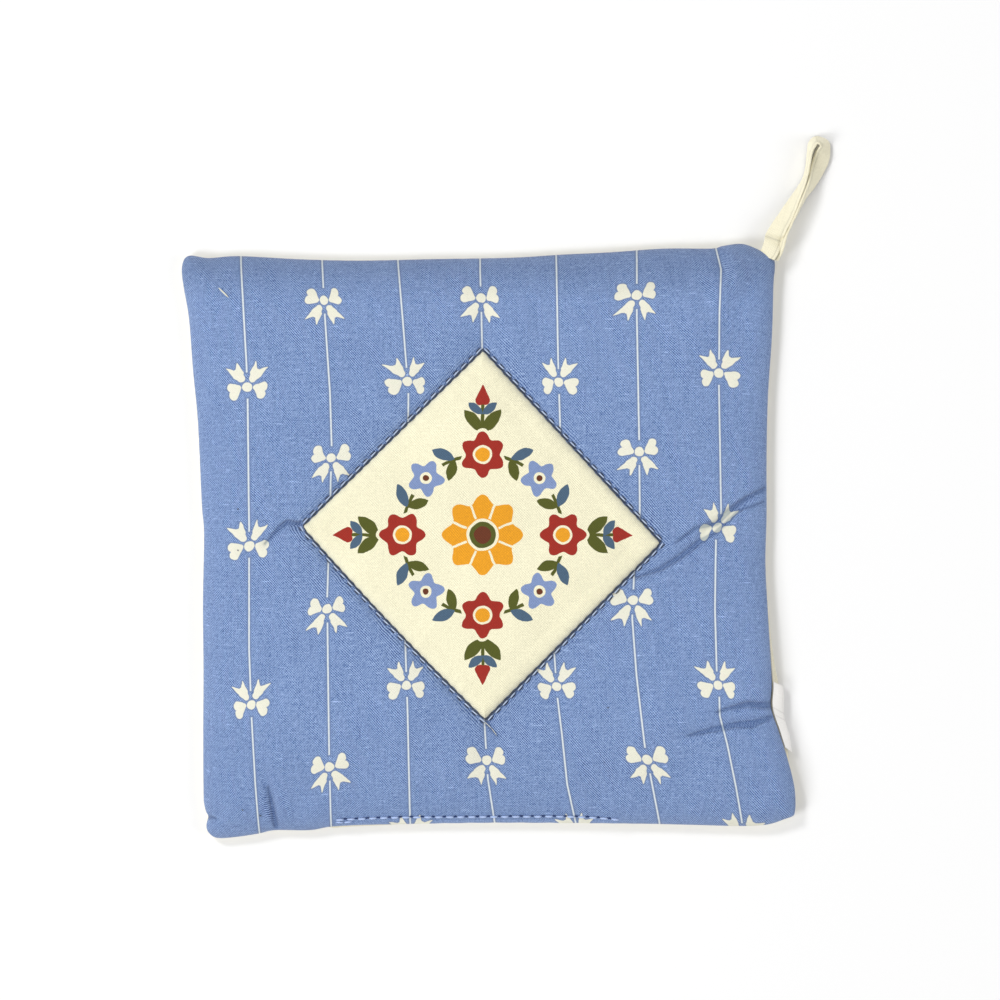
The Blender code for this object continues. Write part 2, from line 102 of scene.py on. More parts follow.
# The outline, side by side, clockwise from the top left corner.
# Columns: along = past the side's middle in walking order, out = beyond HALF_SIDE.
OUTLINE = {
    "top": (
        (-104.6, 0.9), (-97.5, 0.1), (-87.0, 0.8), (-66.0, -0.3), (-45.0, -0.8), (-20.0, -0.3),
        (8.0, 0.2), (26.0, 1.3), (43.0, 2.1), (62.0, 3.4), (78.5, 3.4), (82.5, 4.3),
        (89.5, 5.0), (95.8, 2.6), (100.2, -0.1),
    ),
    "right": (
        (-95.5, 1.8), (-90.0, 1.3), (-72.0, 0.8), (-51.0, -0.6), (-30.0, -1.1), (-8.0, -1.1),
        (8.0, -1.5), (28.0, -0.5), (49.0, 0.6), (57.9, 0.3), (66.9, 3.2), (77.0, 6.4),
        (85.5, 8.5), (91.5, 9.0), (94.6, 8.8),
    ),
    "bottom": (
        (-107.2, -2.8), (-104.4, -1.7), (-98.0, 0.3), (-88.0, 0.8), (-72.0, 0.4), (-48.0, -0.1),
        (-3.0, -0.4), (38.0, 0.3), (54.0, 1.0), (62.0, 2.3), (74.2, 2.3), (80.0, 3.5), (88.0, 4.7),
        (94.6, 5.0),
    ),
    "left": (
        (-102.0, -1.4), (-99.4, -0.7), (-96.6, -1.4), (-94.8, -0.6), (-92.0, 0.1), (-88.5, 0.3),
        (-68.0, 0.4), (-45.0, 0.3), (-22.0, 0.5), (2.0, 0.1), (13.0, 0.9), (41.0, 2.2), (60.0, 4.0),
        (78.0, 5.4), (89.0, 7.3), (96.0, 7.9),
    ),
}
# The way out of the pad on each side.
SIDES = {"top": (0, 1), "right": (1, 0), "bottom": (0, -1), "left": (-1, 0)}

# Height of the side seam. Columns: degrees round the pad from +X, z.
SEAM_HEIGHT = (
    (-180, 3.4), (-135, 3.3), (-90, 3.4), (-50, 3.9), (-40, 4.7), (-32, 5.6), (-24, 5.2),
    (-12, 4.0), (0, 3.6), (35, 3.7), (45, 4.6), (55, 3.4), (90, 2.9), (135, 3.0), (180, 3.4),
)

# Where the back cloth bellies out past the front's right edge. Columns: y, how far proud.
BACK_BELLY = (
    (-88, 0.0), (-78, 0.6), (-72, 2.3), (-65, 3.9), (-57, 4.4), (-50, 3.6), (-44, 2.2),
    (-34, 1.0), (-20, 0.4), (0, 0.0),
)

# Where it peeps out under the bottom edge, beside the closing seam's start. Columns: x, how far proud.
BACK_PEEP = ((-56, 0.0), (-53.5, 1.1), (-47, 0.85), (-36, 0.6), (-28, 0.0))

# The back from its seam down to its sole. Columns: in from the outline, share of seam height, of belly.
BACK_SECTION = (
    (0.0, 1.00, 0.10),
    (0.1, 0.72, 0.75),
    (0.7, 0.38, 1.00),
    (2.2, 0.09, 0.60),
    (4.6, 0.00, 0.00),
)

# The diamond patch's corners, clockwise from the top. Columns: x, y, outward bow of the side that follows.
DIAMOND = (
    (-1.4, 66.5, 0.0),
    (60.6, -0.7, 0.0),
    (-0.7, -62.3, 0.9),
    (-64.4, 4.9, 0.0),
)

# Creases in the front. Columns: depth at the start, depth at the end, half width, ridge beside it
# (on the left of the path), path.
CREASES = {
    "right_tuck": (
        1.5, 0.5, 1.5, 0.5,
        ((97, 17), (91, 14.2), (86, 10.6), (80.5, 7), (74.5, 1), (68, -4.9), (61, -9.2), (53, -12.3)),
    ),
    "notch_above": (1.9, 0.2, 1.5, 0.5, ((101, -57.4), (91, -57.5), (80, -59.6))),
    "notch_below": (
        1.5, 0.5, 2.0, 0.2, ((100, -61.6), (90, -62.8), (82, -63.8), (74.7, -66.5), (66, -69.2)),
    ),
    "left": (1.0, 0.6, 1.2, 0.3, ((-65, 5.8), (-69.7, 5.8), (-72.4, 2.6), (-77.5, -1.2))),
    "bottom_left": (0.8, 2.2, 1.6, 0.8, ((-77.6, -81), (-76.0, -88), (-73.6, -100))),
    "top_right": (1.8, 0.3, 2.0, 0.7, ((80.5, 102), (82, 97.5), (82.6, 93))),
    "left_ripple": (0.2, 0.6, 2.6, 0.4, ((-76, -33), (-74, -45), (-74.6, -57))),
    "top_right_bump": (0.3, 1.1, 3.0, 0.9, ((88, 84), (94, 92), (99, 95))),
}
# How far beside a crease its ridge stands, and the ridge's half width, both as shares of the crease's own.
RIDGE_OFF = 2.2
RIDGE_WIDTH = 1.4
# Sharp folds pressed into the cotton along some of them, each dented in the bump and darkened with painted
# shade. Columns: x, y, half width there.
FOLDS = {
    "tuck_above": (
        (97.0, 18.2, 0.5), (90.8, 15.0, 0.6), (85.0, 10.9, 0.7), (80.4, 6.3, 0.6), (73.0, 4.6, 0.4),
        (66.0, -0.6, 0.1),
    ),
    "tuck_below": (
        (96.5, 13.6, 0.1), (88.0, 10.6, 0.3), (80.0, 3.0, 0.4), (74.0, -0.6, 0.8), (68.0, -5.2, 0.7),
        (61.0, -9.6, 0.5), (52.0, -12.6, 0.1),
    ),
    "notch": ((99.0, -57.4, 1.0), (91.0, -57.0, 0.9), (84.5, -58.4, 0.4), (80.0, -59.8, 0.1)),
    "under_notch": (
        (99.0, -61.6, 0.5), (92.6, -64.0, 1.3), (87.0, -64.2, 0.8), (79.2, -65.8, 0.8), (70.0, -68.0, 0.1),
    ),
    "hem_corner": ((-76.4, -86.0, 0.1), (-75.2, -92.0, 0.5), (-73.8, -99.5, 0.7)),
    "corner": ((-65.2, 6.2, 0.2), (-69.5, 6.6, 0.7), (-72.6, 4.6, 0.6), (-77.5, -1.0, 0.1)),
    "corner_notch": ((-98.0, -96.5, 0.4), (-95.0, -96.9, 0.1)),
    "below": ((-0.7, -62.6, 0.1), (1.2, -65.0, 0.35), (4.0, -68.0, 0.1)),
}

# The loop's tape, from its upper end in the seam, round its eye and back to its lower end.
# Columns: lower edge's x, y, z, then upper edge's x and y.
TAPE = (
    (95.0, 100.6, 4.4, 100.4, 98.2),
    (96.2, 102.3, 4.6, 101.6, 99.9),
    (97.0, 105.0, 5.0, 102.9, 102.9),
    (97.6, 107.6, 4.8, 103.6, 105.4),
    (100.2, 111.6, 4.0, 105.0, 109.0),
    (102.9, 115.4, 3.1, 106.7, 112.3),
    (105.0, 118.4, 2.3, 108.0, 115.5),
    (107.2, 121.4, 1.6, 109.3, 119.2),
    (109.9, 125.2, 1.1, 111.0, 124.0),
    (111.4, 128.5, 0.9, 112.1, 128.0),
    (112.1, 132.0, 0.8, 112.8, 131.6),
    (112.5, 136.2, 0.8, 113.6, 135.6),
    (112.9, 139.2, 0.8, 114.7, 137.9),
    (114.6, 141.4, 0.8, 115.5, 139.0),
    (117.2, 141.4, 0.8, 116.2, 138.8),
    (119.7, 139.9, 0.8, 116.5, 138.0),
    (120.2, 136.6, 0.8, 115.3, 136.5),
    (119.6, 132.7, 0.8, 114.1, 133.6),
    (117.7, 128.8, 0.8, 113.2, 130.2),
    (114.9, 124.4, 0.8, 112.3, 125.6),
    (112.0, 120.7, 0.8, 111.0, 121.6),
    (110.1, 117.6, 0.8, 109.6, 118.0),
    (108.2, 113.9, 0.8, 108.0, 114.1),
    (106.0, 110.6, 0.8, 106.5, 110.9),
    (103.6, 107.4, 0.9, 105.0, 107.3),
    (101.4, 104.8, 1.5, 104.2, 104.2),
    (98.6, 102.6, 2.6, 103.4, 101.0),
    (96.6, 100.8, 3.0, 102.0, 98.0),
)
TAPE_WIDTH = 6.3
# The tape's cut folded into four: each raw edge turned in, then the whole folded in half.
# Columns: share of the width, height in the fold.
TAPE_FOLD = (
    (0.62, 0.12), (0.30, 0.13), (0.05, 0.16), (0.00, 0.30), (0.05, 0.44), (0.30, 0.50), (0.60, 0.52),
    (0.90, 0.46), (0.985, 0.26), (1.00, 0.0), (0.985, -0.26), (0.90, -0.46), (0.60, -0.52),
    (0.30, -0.50), (0.05, -0.44), (0.00, -0.30), (0.05, -0.16), (0.30, -0.13), (0.62, -0.12),
)

LABEL_TOP = -48.9
LABEL_BOTTOM = -72.0

# Print on the front. Each pinstripe's course: columns y, x, read across from the left edge.
STRIPE_PITCH = 27.9
BOW_PITCH = 55.0
STRIPES = (
    ((100, -86.2), (62, -84.0), (50, -83.6), (5, -83.1), (-38, -83.1), (-62, -82.2), (-84, -81.0),
     (-103, -79.6)),
    ((98, -57.7), (80, -56.7), (52, -54.8), (33, -54.2), (-20, -55.8), (-75, -55.1), (-103, -54.5)),
    ((98, -31.2), (77, -29.4), (52, -27.4), (-34, -28.6), (-60, -27.7), (-103, -26.8)),
    ((95, -2.4), (78, -1.9), (66, -1.7), (-63, -0.9), (-83, 0.3), (-98, 2.6), (-103, 3.4)),
    ((100, 24.2), (64, 24.8), (38, 25.6), (-38, 23.4), (-54, 24.5), (-67, 26.1), (-85, 28.0), (-103, 32.0)),
    ((101, 52.4), (79, 52.3), (36, 53.1), (9, 53.4), (-11, 51.4), (-27, 50.7), (-47, 52.2), (-71, 55.0),
     (-83, 57.3), (-103, 61.2)),
    ((102, 80.2), (95, 81.8), (80, 81.2), (55, 81.0), (10, 81.8), (3, 80.0), (-24, 79.6), (-45, 80.2),
     (-54, 81.1), (-61, 81.3), (-71, 83.9), (-86, 87.0), (-103, 90.0)),
    ((102, 107.0), (60, 108.2), (0, 108.4), (-58, 108.0), (-103, 119.0)),
)
# Heights of the bows' knots down each stripe, evenly numbered along the print.
# Columns: first bow's number, then y of that bow and of each bow after it.
BOWS = (
    (1, 53.9, -1.7, -57.4, -112.9),
    (0.5, 84.4, 29.0, -23.5, -78.8),
    (1, 55.7, 2.0, -50.4, -103.8),
    (0.5, 85.0, 30.0, -22.0, -76.6),
    (1, 55.3, 2.0, -50.8, -103.5),
    (0.5, 85.9, 31.2, -20.7, -76.3),
    (1, 58.6, 4.6, -50.4, -103.4),
    (0.5, 85.4, 30.0, -24.0, -80.0),
)

# One bow, knot at the origin, loops upwards, drawn for the right half and mirrored.
# Columns: start x, y, radius, end x, y, radius.
BOW_STROKES = (
    (2.75, 0.3, 0.75, 4.6, 3.1, 1.45),
    (2.8, 0.2, 0.75, 5.25, 0.45, 1.50),
    (1.95, -2.9, 1.15, 3.0, -4.3, 1.70),
    (3.6, -4.3, 1.20, 6.9, -6.1, 0.05),
    (2.4, -4.8, 1.20, 2.9, -8.3, 0.05),
)
KNOT_RADIUS = 1.55
# A pinstripe's half width, and where it stops short of a knot, above and below an upright bow.
STRIPE_HALF = 0.29
STRIPE_STOP_ABOVE = 4.1
STRIPE_STOP_BELOW = 4.9
PRINT_EDGE = 0.16  # how soft the edge of the print is

# How far the simulated cloth rose, as a square grid. The front's operator fills it in.
PUCKERS = {"rise": np.zeros((2, 2))}


# ---------------------------------------------------------------------------------------------------------
# Settings that a user would change.


def whole(name, description, default):
    """A number of cells."""
    return IntProperty(name=name, description=description, default=default)


def metres(name, description, default):
    """A length in metres."""
    return FloatProperty(name=name, description=description, default=default, unit="LENGTH", precision=5)


def watts(name, description, default):
    """A light's power in watts."""
    return FloatProperty(name=name, description=description, default=default, unit="POWER")


def plain(name, description, default):
    """A plain number."""
    return FloatProperty(name=name, description=description, default=default)


def colour(name, description, default):
    """A colour, as linear values."""
    return FloatVectorProperty(name=name, description=description, default=default, subtype="COLOR", size=3)


class PotHolderSizes(bpy.types.PropertyGroup):
    """How finely the cloth is made, and the sizes of its thread."""

    front_cells: whole("Front cells", "Cells along one side of the front", 290)
    sim_cells: whole("Simulated cells", "Cells along one side of the cloth simulation", 110)
    back_cells: whole("Back cells", "Cells along one side of the back", 130)
    patch_cells: whole("Patch cells", "Cells along one side of the patch", 190)
    slack: plain("Slack", "Share by which the cotton is let out", 0.008)
    pressure: plain("Filling", "Pressure of the wadding in the simulation", 2.0)
    cloth: metres("Cloth", "Thickness of the cotton", 0.00045)
    quilt_stitch: metres("Quilting stitch", "From one quilting stitch to the next", 0.00365)
    closing_stitch: metres("Closing stitch", "From one closing stitch to the next", 0.0038)
    thread: metres("Thread", "Thickness of the sewing thread", 0.00042)
    weave: metres("Weave", "From one thread of the weave to the next", 0.00042)


class PotHolderColours(bpy.types.PropertyGroup):
    """The colours of the cloth, the print and the thread."""

    blue: colour("Blue", "Ground of the printed front", (0.208, 0.314, 0.572))
    print_cream: colour("Print", "Bows on the front", (0.90, 0.885, 0.745))
    print_line: colour("Pinstripe", "Stripes on the front", (0.76, 0.82, 0.86))
    patch: colour("Patch", "Ground of the diamond patch", (0.94, 0.895, 0.65))
    back: colour("Back", "The back cloth", (0.88, 0.83, 0.65))
    tape: colour("Tape", "The loop's tape", (0.92, 0.865, 0.65))
    label: colour("Label", "The blank label", (0.93, 0.91, 0.88))
    gold: colour("Gold", "Rosette", (0.86, 0.36, 0.006))
    red: colour("Red", "Blossoms", (0.36, 0.016, 0.005))
    olive: colour("Olive", "Stems and leaves", (0.085, 0.096, 0.004))
    slate: colour("Slate", "Dark blue leaves", (0.066, 0.125, 0.20))
    periwinkle: colour("Periwinkle", "Small blue flowers", (0.225, 0.31, 0.55))
    brown: colour("Brown", "Rosette's eye", (0.14, 0.028, 0.004))
    thread_light: colour("Light thread", "Pale ply of the thread", (0.60, 0.72, 0.95))
    thread_dark: colour("Dark thread", "Dark ply of the thread", (0.012, 0.030, 0.075))
    closing_light: colour("Closing thread", "Thread of the closing seam", (0.50, 0.65, 1.0))
    # Partly painted shade: the closing seam's dark stitches stand for the thread sunk in its needle holes and
    # the shade lying in them.
    closing_sunk_thread_and_shade: colour("Closing shadow", "Thread sunk in the closing seam's holes", (0.010, 0.035, 0.15))
    floor: colour("Floor", "The floor", (0.95, 0.95, 0.95))


class PotHolderStage(bpy.types.PropertyGroup):
    """The camera and the lights."""

    view_width: metres("View width", "Width of floor that the camera sees", 0.35)
    key_power: watts("Key", "Power of the main light", 23.0)
    fill_power: watts("Fill", "Power of the fill light", 15.5)
    side_power: watts("Side", "Power of the low light", 7.0)
    sky: plain("Sky", "Strength of the even light all round", 0.50)


# ---------------------------------------------------------------------------------------------------------
# Shapes as formulas.


def smooth_between(rows, steps, closed):
    """Catmull-Rom cubic through rows of numbers, with a number of steps in each gap."""
    rows = np.array(rows, float)
    count = len(rows)
    gap = np.arange(count if closed else count - 1)
    around = gap[:, None] + np.arange(-1, 3)
    around = around % count if closed else np.clip(around, 0, count - 1)
    before, start, end, after = (rows[around[:, k]][:, None, :] for k in range(4))
    t = (np.arange(steps) / steps)[None, :, None]
    curve = 0.5 * (
        2 * start
        + (end - before) * t
        + (2 * before - 5 * start + 4 * end - after) * t**2
        + (3 * start - before - 3 * end + after) * t**3
    )
    curve = curve.reshape(-1, rows.shape[1])
    return curve if closed else np.vstack([curve, rows[-1]])


def pad_outline():
    """The seam line seen from above, clockwise: a cubic through the rows of each side."""
    corners = []
    for side, rows in OUTLINE.items():
        out_x, out_y = SIDES[side]
        corners += [
            (out_x * (HALF_SIDE + out) + out_y * along, out_y * (HALF_SIDE + out) - out_x * along)
            for along, out in rows
        ]
    return smooth_between(corners, 5, closed=True)


def from_table(rows, at):
    """Straight-line reading of a two-column table."""
    return np.interp(at, [row[0] for row in rows], [row[1] for row in rows])


def seam_height(xy):
    """The seam's height beside each point."""
    return from_table(SEAM_HEIGHT, np.degrees(np.arctan2(xy[:, 1], xy[:, 0])))


def belly(xy):
    """How far the back stands proud beside each point."""
    on_right, at_bottom = xy[:, 0] > 0, xy[:, 1] < -85
    right = np.where(on_right, from_table(BACK_BELLY, xy[:, 1]), 0.0)
    return right + np.where(at_bottom, from_table(BACK_PEEP, xy[:, 0]), 0.0)


def pushed_out(xy, out):
    """Points moved away from the pad's middle along their own rays."""
    reach = np.linalg.norm(xy, axis=1, keepdims=True)
    return xy * (1 + np.reshape(out, (-1, 1)) / reach)


def run_length(points):
    """Length along a path to each of its points."""
    return np.concatenate([[0], np.cumsum(np.linalg.norm(np.diff(points, axis=0), axis=1))])


def beside(xy, path, closed=False):
    """Distance to a path, positive on its left, and the length along it to the nearest place."""
    path = np.array(path, float)
    starts = path if closed else path[:-1]
    run = (np.roll(path, -1, axis=0) if closed else path[1:]) - starts
    length = np.maximum(np.linalg.norm(run, axis=1), 1e-9)
    before = np.concatenate([[0], np.cumsum(length)[:-1]])
    nearest = np.full(len(xy), np.inf)
    signed = np.zeros(len(xy))
    along = np.zeros(len(xy))
    for start, step, size, so_far in zip(starts, run, length, before):
        away = xy - start
        share = np.clip(away @ step / size**2, 0, 1)
        gap = np.linalg.norm(away - share[:, None] * step, axis=1)
        closer = gap < nearest
        left = step[0] * away[:, 1] - step[1] * away[:, 0]
        nearest = np.where(closer, gap, nearest)
        signed = np.where(closer, np.where(left >= 0, gap, -gap), signed)
        along = np.where(closer, so_far + share * size, along)
    return signed, along


def out_of_diamond(xy):
    """Distance outside the patch's edge, negative inside: the largest of the four sides' distances."""
    sides = []
    for (ax, ay, bow), (bx, by, _) in zip(DIAMOND, DIAMOND[1:] + DIAMOND[:1]):
        length = math.dist((ax, ay), (bx, by))
        along = ((xy[:, 0] - ax) * (bx - ax) + (xy[:, 1] - ay) * (by - ay)) / length**2
        out = ((xy[:, 1] - ay) * (bx - ax) - (xy[:, 0] - ax) * (by - ay)) / length
        sides.append(out - bow * np.sin(np.pi * np.clip(along, 0, 1)))
    return np.max(sides, axis=0)


def diamond_line(out, step):
    """Points along a line that runs a distance outside the patch's edge, about a step apart."""
    middle = np.mean([row[:2] for row in DIAMOND], axis=0)
    inner = -out_of_diamond(middle[None, :])[0]
    points = []
    for (ax, ay, bow), (bx, by, _) in zip(DIAMOND, DIAMOND[1:] + DIAMOND[:1]):
        start, run = np.array((ax, ay)), np.array((bx - ax, by - ay))
        size = np.linalg.norm(run)
        t = np.arange(0, 1, 1 / round(size / step))[:, None]
        normal = np.array((-run[1], run[0])) / size
        points.append(start + run * t + normal * bow * np.sin(np.pi * t))
    return middle + (np.vstack(points) - middle) * (1 + out / inner)


def waves(at, lengths, seed):
    """Smooth uneven wave along a line: a sine of each length, with seeded starts, about -1 to 1."""
    starts = np.random.default_rng(seed).uniform(0, 2 * np.pi, len(lengths))
    total = sum(np.sin(2 * np.pi * at / length + start) for length, start in zip(lengths, starts))
    return total / len(lengths) ** 0.5


def swell(xy, size, seed):
    """Smooth uneven ground: six plane waves about one size long, in seeded directions, about -1 to 1."""
    rng = np.random.default_rng(seed)
    total = 0.0
    for _ in range(6):
        turn, start, length = rng.uniform(0, 2 * np.pi, 2).tolist() + [size * rng.uniform(0.75, 1.4)]
        total = total + np.sin(
            (xy[:, 0] * math.cos(turn) + xy[:, 1] * math.sin(turn)) * 2 * np.pi / length + start
        )
    return total / 6**0.5


def front_height(xy, outline, fine=True):
    """The front's top surface.

    It starts at the seam, rolls over a quarter ellipse, and rises on as an exponential crown. The ditch and
    its valley are bell curves across the distance to the quilting, and so are the creases. Fine detail is
    the puckers that the seam and the quilting pull, which fade away from them, and a slight swell.
    """
    edge, around = beside(xy, outline, closed=True)
    inside = np.abs(edge)
    out = out_of_diamond(xy)
    settled = np.clip(inside / EDGE_ROLL, 0, 1)
    height = MIDDLE_SEAM + (seam_height(xy) - MIDDLE_SEAM) * np.exp(-((inside / SEAM_REACH) ** 2))
    height = height + SEAM_GAP + EDGE_RISE * np.sqrt(1 - (1 - settled) ** 2)
    height = height + CROWN * (1 - np.exp(-inside / CROWN_REACH))
    height = height + PATCH_PUFF * (1 - np.exp(-np.clip(-out, 0, None) / PUFF_REACH))
    height = height - DITCH_DEPTH * np.exp(-(((out - DITCH_LINE) / DITCH_WIDTH) ** 2))
    height = height - VALLEY_DEPTH * np.exp(-(((out - DITCH_LINE) / VALLEY_WIDTH) ** 2))
    for start, end, width, ridge, path in CREASES.values():
        off, along = beside(xy, path)
        share = along / sum(math.dist(a, b) for a, b in zip(path, path[1:]))
        depth = start + (end - start) * share
        trough = depth * np.exp(-((off / width) ** 2))
        beyond = (off - RIDGE_OFF * width) / (RIDGE_WIDTH * width)
        rise = ridge * depth / max(start, end) * np.exp(-(beyond**2))
        height = height + settled * (rise - trough)
    if fine:
        most, reach, lengths, seed = SEAM_PUCKERS
        height = height + most * np.exp(-inside / reach) * settled * waves(around, lengths, seed)
        most, reach, lengths, seed = QUILT_PUCKERS
        _, along = beside(xy, diamond_line(DITCH_LINE, step=6.0), closed=True)
        height = height + most * np.exp(-np.abs(out - DITCH_LINE) / reach) * waves(along, lengths, seed)
        most, size, seed = SWELL
        height = height + most * settled * swell(xy, size, seed)
        height = height + settled * on_grid(xy, PUCKERS["rise"], outline, EDGE_INSET)
    return height


def on_front(xy, outline):
    """Points lying on the front's surface."""
    return np.column_stack([xy, front_height(xy, outline)])


# ---------------------------------------------------------------------------------------------------------
# Meshes from grids.


def grid_faces(rows, columns, first=0):
    """Quads of a grid of points that are numbered row by row."""
    corner = first + np.arange(rows - 1)[:, None] * columns + np.arange(columns - 1)[None, :]
    return np.stack([corner, corner + 1, corner + columns + 1, corner + columns], -1).reshape(-1, 4)


def border(cells):
    """The numbers of a square grid's outer points, anticlockwise from the lower left corner."""
    side = cells + 1
    line = np.arange(cells)
    return np.concatenate(
        [line, line * side + cells, cells * side + cells - line, (cells - line) * side]
    )


def shell(grid, rings):
    """A square grid of points that faces up, with rings of points sewn round its border one after another.

    Returns all the points, the quads, and the numbers of the last ring's points.
    """
    side = math.isqrt(len(grid))
    faces = [grid_faces(side, side)]
    before = border(side - 1)
    for number, ring in enumerate(rings):
        here = len(grid) + number * len(ring) + np.arange(len(ring))
        faces.append(np.stack([before, here, np.roll(here, -1), np.roll(before, -1)], -1))
        before = here
    return np.vstack([grid, *rings]), np.vstack(faces), before


def reach_at(turn, outline):
    """How far the outline lies from the middle, in each direction."""
    edge_turn = np.arctan2(outline[:, 1], outline[:, 0])
    order = np.argsort(edge_turn)
    return np.interp(turn, edge_turn[order], np.linalg.norm(outline, axis=1)[order], period=2 * np.pi)


def square_to_pad(cells, outline, inset):
    """A square grid stretched to the pad's outline.

    A point's share of the way out is its larger coordinate; along its own ray it lies at that share of the
    distance to the outline, less the inset.
    """
    line = np.linspace(-1, 1, cells + 1)
    u, v = (each.ravel() for each in np.meshgrid(line, line))
    share = np.maximum(np.abs(u), np.abs(v))
    turn = np.arctan2(v, u)
    far = share * (reach_at(turn, outline) - inset)
    return np.column_stack([np.cos(turn), np.sin(turn)]) * far[:, None]


def on_grid(xy, grid, outline, inset):
    """Values of a square grid that is stretched to the pad's outline, read at points between its own."""
    turn = np.arctan2(xy[:, 1], xy[:, 0])
    share = np.clip(np.linalg.norm(xy, axis=1) / (reach_at(turn, outline) - inset), 0, 1)
    ray = np.column_stack([np.cos(turn), np.sin(turn)])
    square = ray / np.abs(ray).max(1, keepdims=True) * share[:, None]
    cells = len(grid) - 1
    place = (square + 1) / 2 * cells
    low = np.clip(place.astype(int), 0, cells - 1)
    (across, down), (column, row) = (place - low).T, low.T
    return (
        grid[row, column] * (1 - across) * (1 - down) + grid[row, column + 1] * across * (1 - down)
        + grid[row + 1, column] * (1 - across) * down + grid[row + 1, column + 1] * across * down
    )


def smoothed(grid, times):
    """A grid with each value averaged with its four neighbours, a number of times."""
    for _ in range(times):
        wide = np.pad(grid, 1, mode="edge")
        grid = (
            wide[1:-1, 1:-1] * 2 + wide[:-2, 1:-1] + wide[2:, 1:-1] + wide[1:-1, :-2] + wide[1:-1, 2:]
        ) / 6
    return grid


def simulated_puckers(outline, cells, slack, pressure):
    """Cloth simulation of the front over its wadding.

    A square of cotton, let out a little by the slack, is held at the seam and at the quilting and pressed
    up by the wadding, so it buckles between them. How firmly a point is held falls off as a bell curve from
    either line. Returns a square grid of how far it rose: its broad swell is mostly left out, because the
    pad's own height has it, and its puckers are kept.
    """
    flat = square_to_pad(cells, outline, EDGE_INSET)
    points = np.column_stack([flat, front_height(flat, outline, fine=False)])
    mesh = bpy.data.meshes.new("cotton")
    mesh.from_pydata((points * MM).tolist(), [], grid_faces(cells + 1, cells + 1).tolist())
    cotton = bpy.data.objects.new("cotton", mesh)
    scene = bpy.context.scene
    scene.collection.objects.link(cotton)
    from_edge = np.abs(beside(flat, outline, closed=True)[0]) - EDGE_INSET
    from_quilting = out_of_diamond(flat) - DITCH_LINE
    edge_width, quilting_width = 1.5, 1.2
    held = np.maximum(
        np.exp(-((from_edge / edge_width) ** 2)), np.exp(-((from_quilting / quilting_width) ** 2))
    )
    held[border(cells)] = 1
    sewn = cotton.vertex_groups.new(name="sewn")
    most = 20
    levels = np.round(held * most).astype(int)
    for level in range(1, most + 1):
        sewn.add(np.nonzero(levels == level)[0].tolist(), level / most, "REPLACE")
    cloth = cotton.modifiers.new("Cotton", "CLOTH").settings
    cloth.quality = 6
    cloth.mass = 0.2
    cloth.tension_stiffness = 20
    cloth.compression_stiffness = 20
    cloth.shear_stiffness = 8
    cloth.bending_stiffness = 0.3
    cloth.vertex_group_mass = "sewn"
    cloth.shrink_min = -slack
    cloth.use_pressure = True
    cloth.uniform_pressure_force = pressure
    cloth.effector_weights.gravity = 0
    last_frame = 24
    for number in range(1, last_frame + 1):
        scene.frame_set(number)
    settled = cotton.evaluated_get(bpy.context.evaluated_depsgraph_get()).data
    place = np.empty(len(points) * 3, np.float32)
    settled.vertices.foreach_get("co", place)
    bpy.data.objects.remove(cotton)
    bpy.data.meshes.remove(mesh)
    scene.frame_set(1)
    rise = (place.reshape(-1, 3)[:, 2] / MM - points[:, 2]).reshape(cells + 1, cells + 1)
    broad = smoothed(rise, times=60)
    kept = PUCKER_SHARE * smoothed(rise - broad, times=2) + BROAD_SHARE * broad
    return np.clip(kept, -MOST_RISE, MOST_RISE)


def make_piece(name, points, faces, look, uvs=None, cap=None):
    """A mesh object from points in millimetres and quads, riding on the pad.

    uvs gives one pair for each point. cap is one more face, as a list of point numbers.
    """
    mesh = bpy.data.meshes.new(name)
    sizes = np.full(len(faces), faces.shape[1])
    corners = faces.ravel()
    if cap is not None:
        sizes = np.append(sizes, len(cap))
        corners = np.concatenate([corners, cap])
    mesh.vertices.add(len(points))
    mesh.vertices.foreach_set("co", (points * MM).astype(np.float32).ravel())
    mesh.loops.add(len(corners))
    mesh.loops.foreach_set("vertex_index", corners.astype(np.int32))
    mesh.polygons.add(len(sizes))
    mesh.polygons.foreach_set("loop_start", (np.cumsum(sizes) - sizes).astype(np.int32))
    mesh.update(calc_edges=True)
    mesh.validate()
    mesh.shade_smooth()
    if uvs is not None:
        layer = mesh.uv_layers.new(name="cloth")
        layer.data.foreach_set("uv", uvs[corners].astype(np.float32).ravel())
    mesh.materials.append(look)
    piece = bpy.data.objects.new(name, mesh)
    bpy.context.scene.collection.objects.link(piece)
    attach(piece, ROOT)
    return piece


def thicken(piece, thickness):
    """Give a sheet its cloth's thickness, inwards from its outer face."""
    wall = piece.modifiers.new("Cloth", "SOLIDIFY")
    wall.thickness = thickness
    wall.offset = -1.0


# ---------------------------------------------------------------------------------------------------------
# Materials.


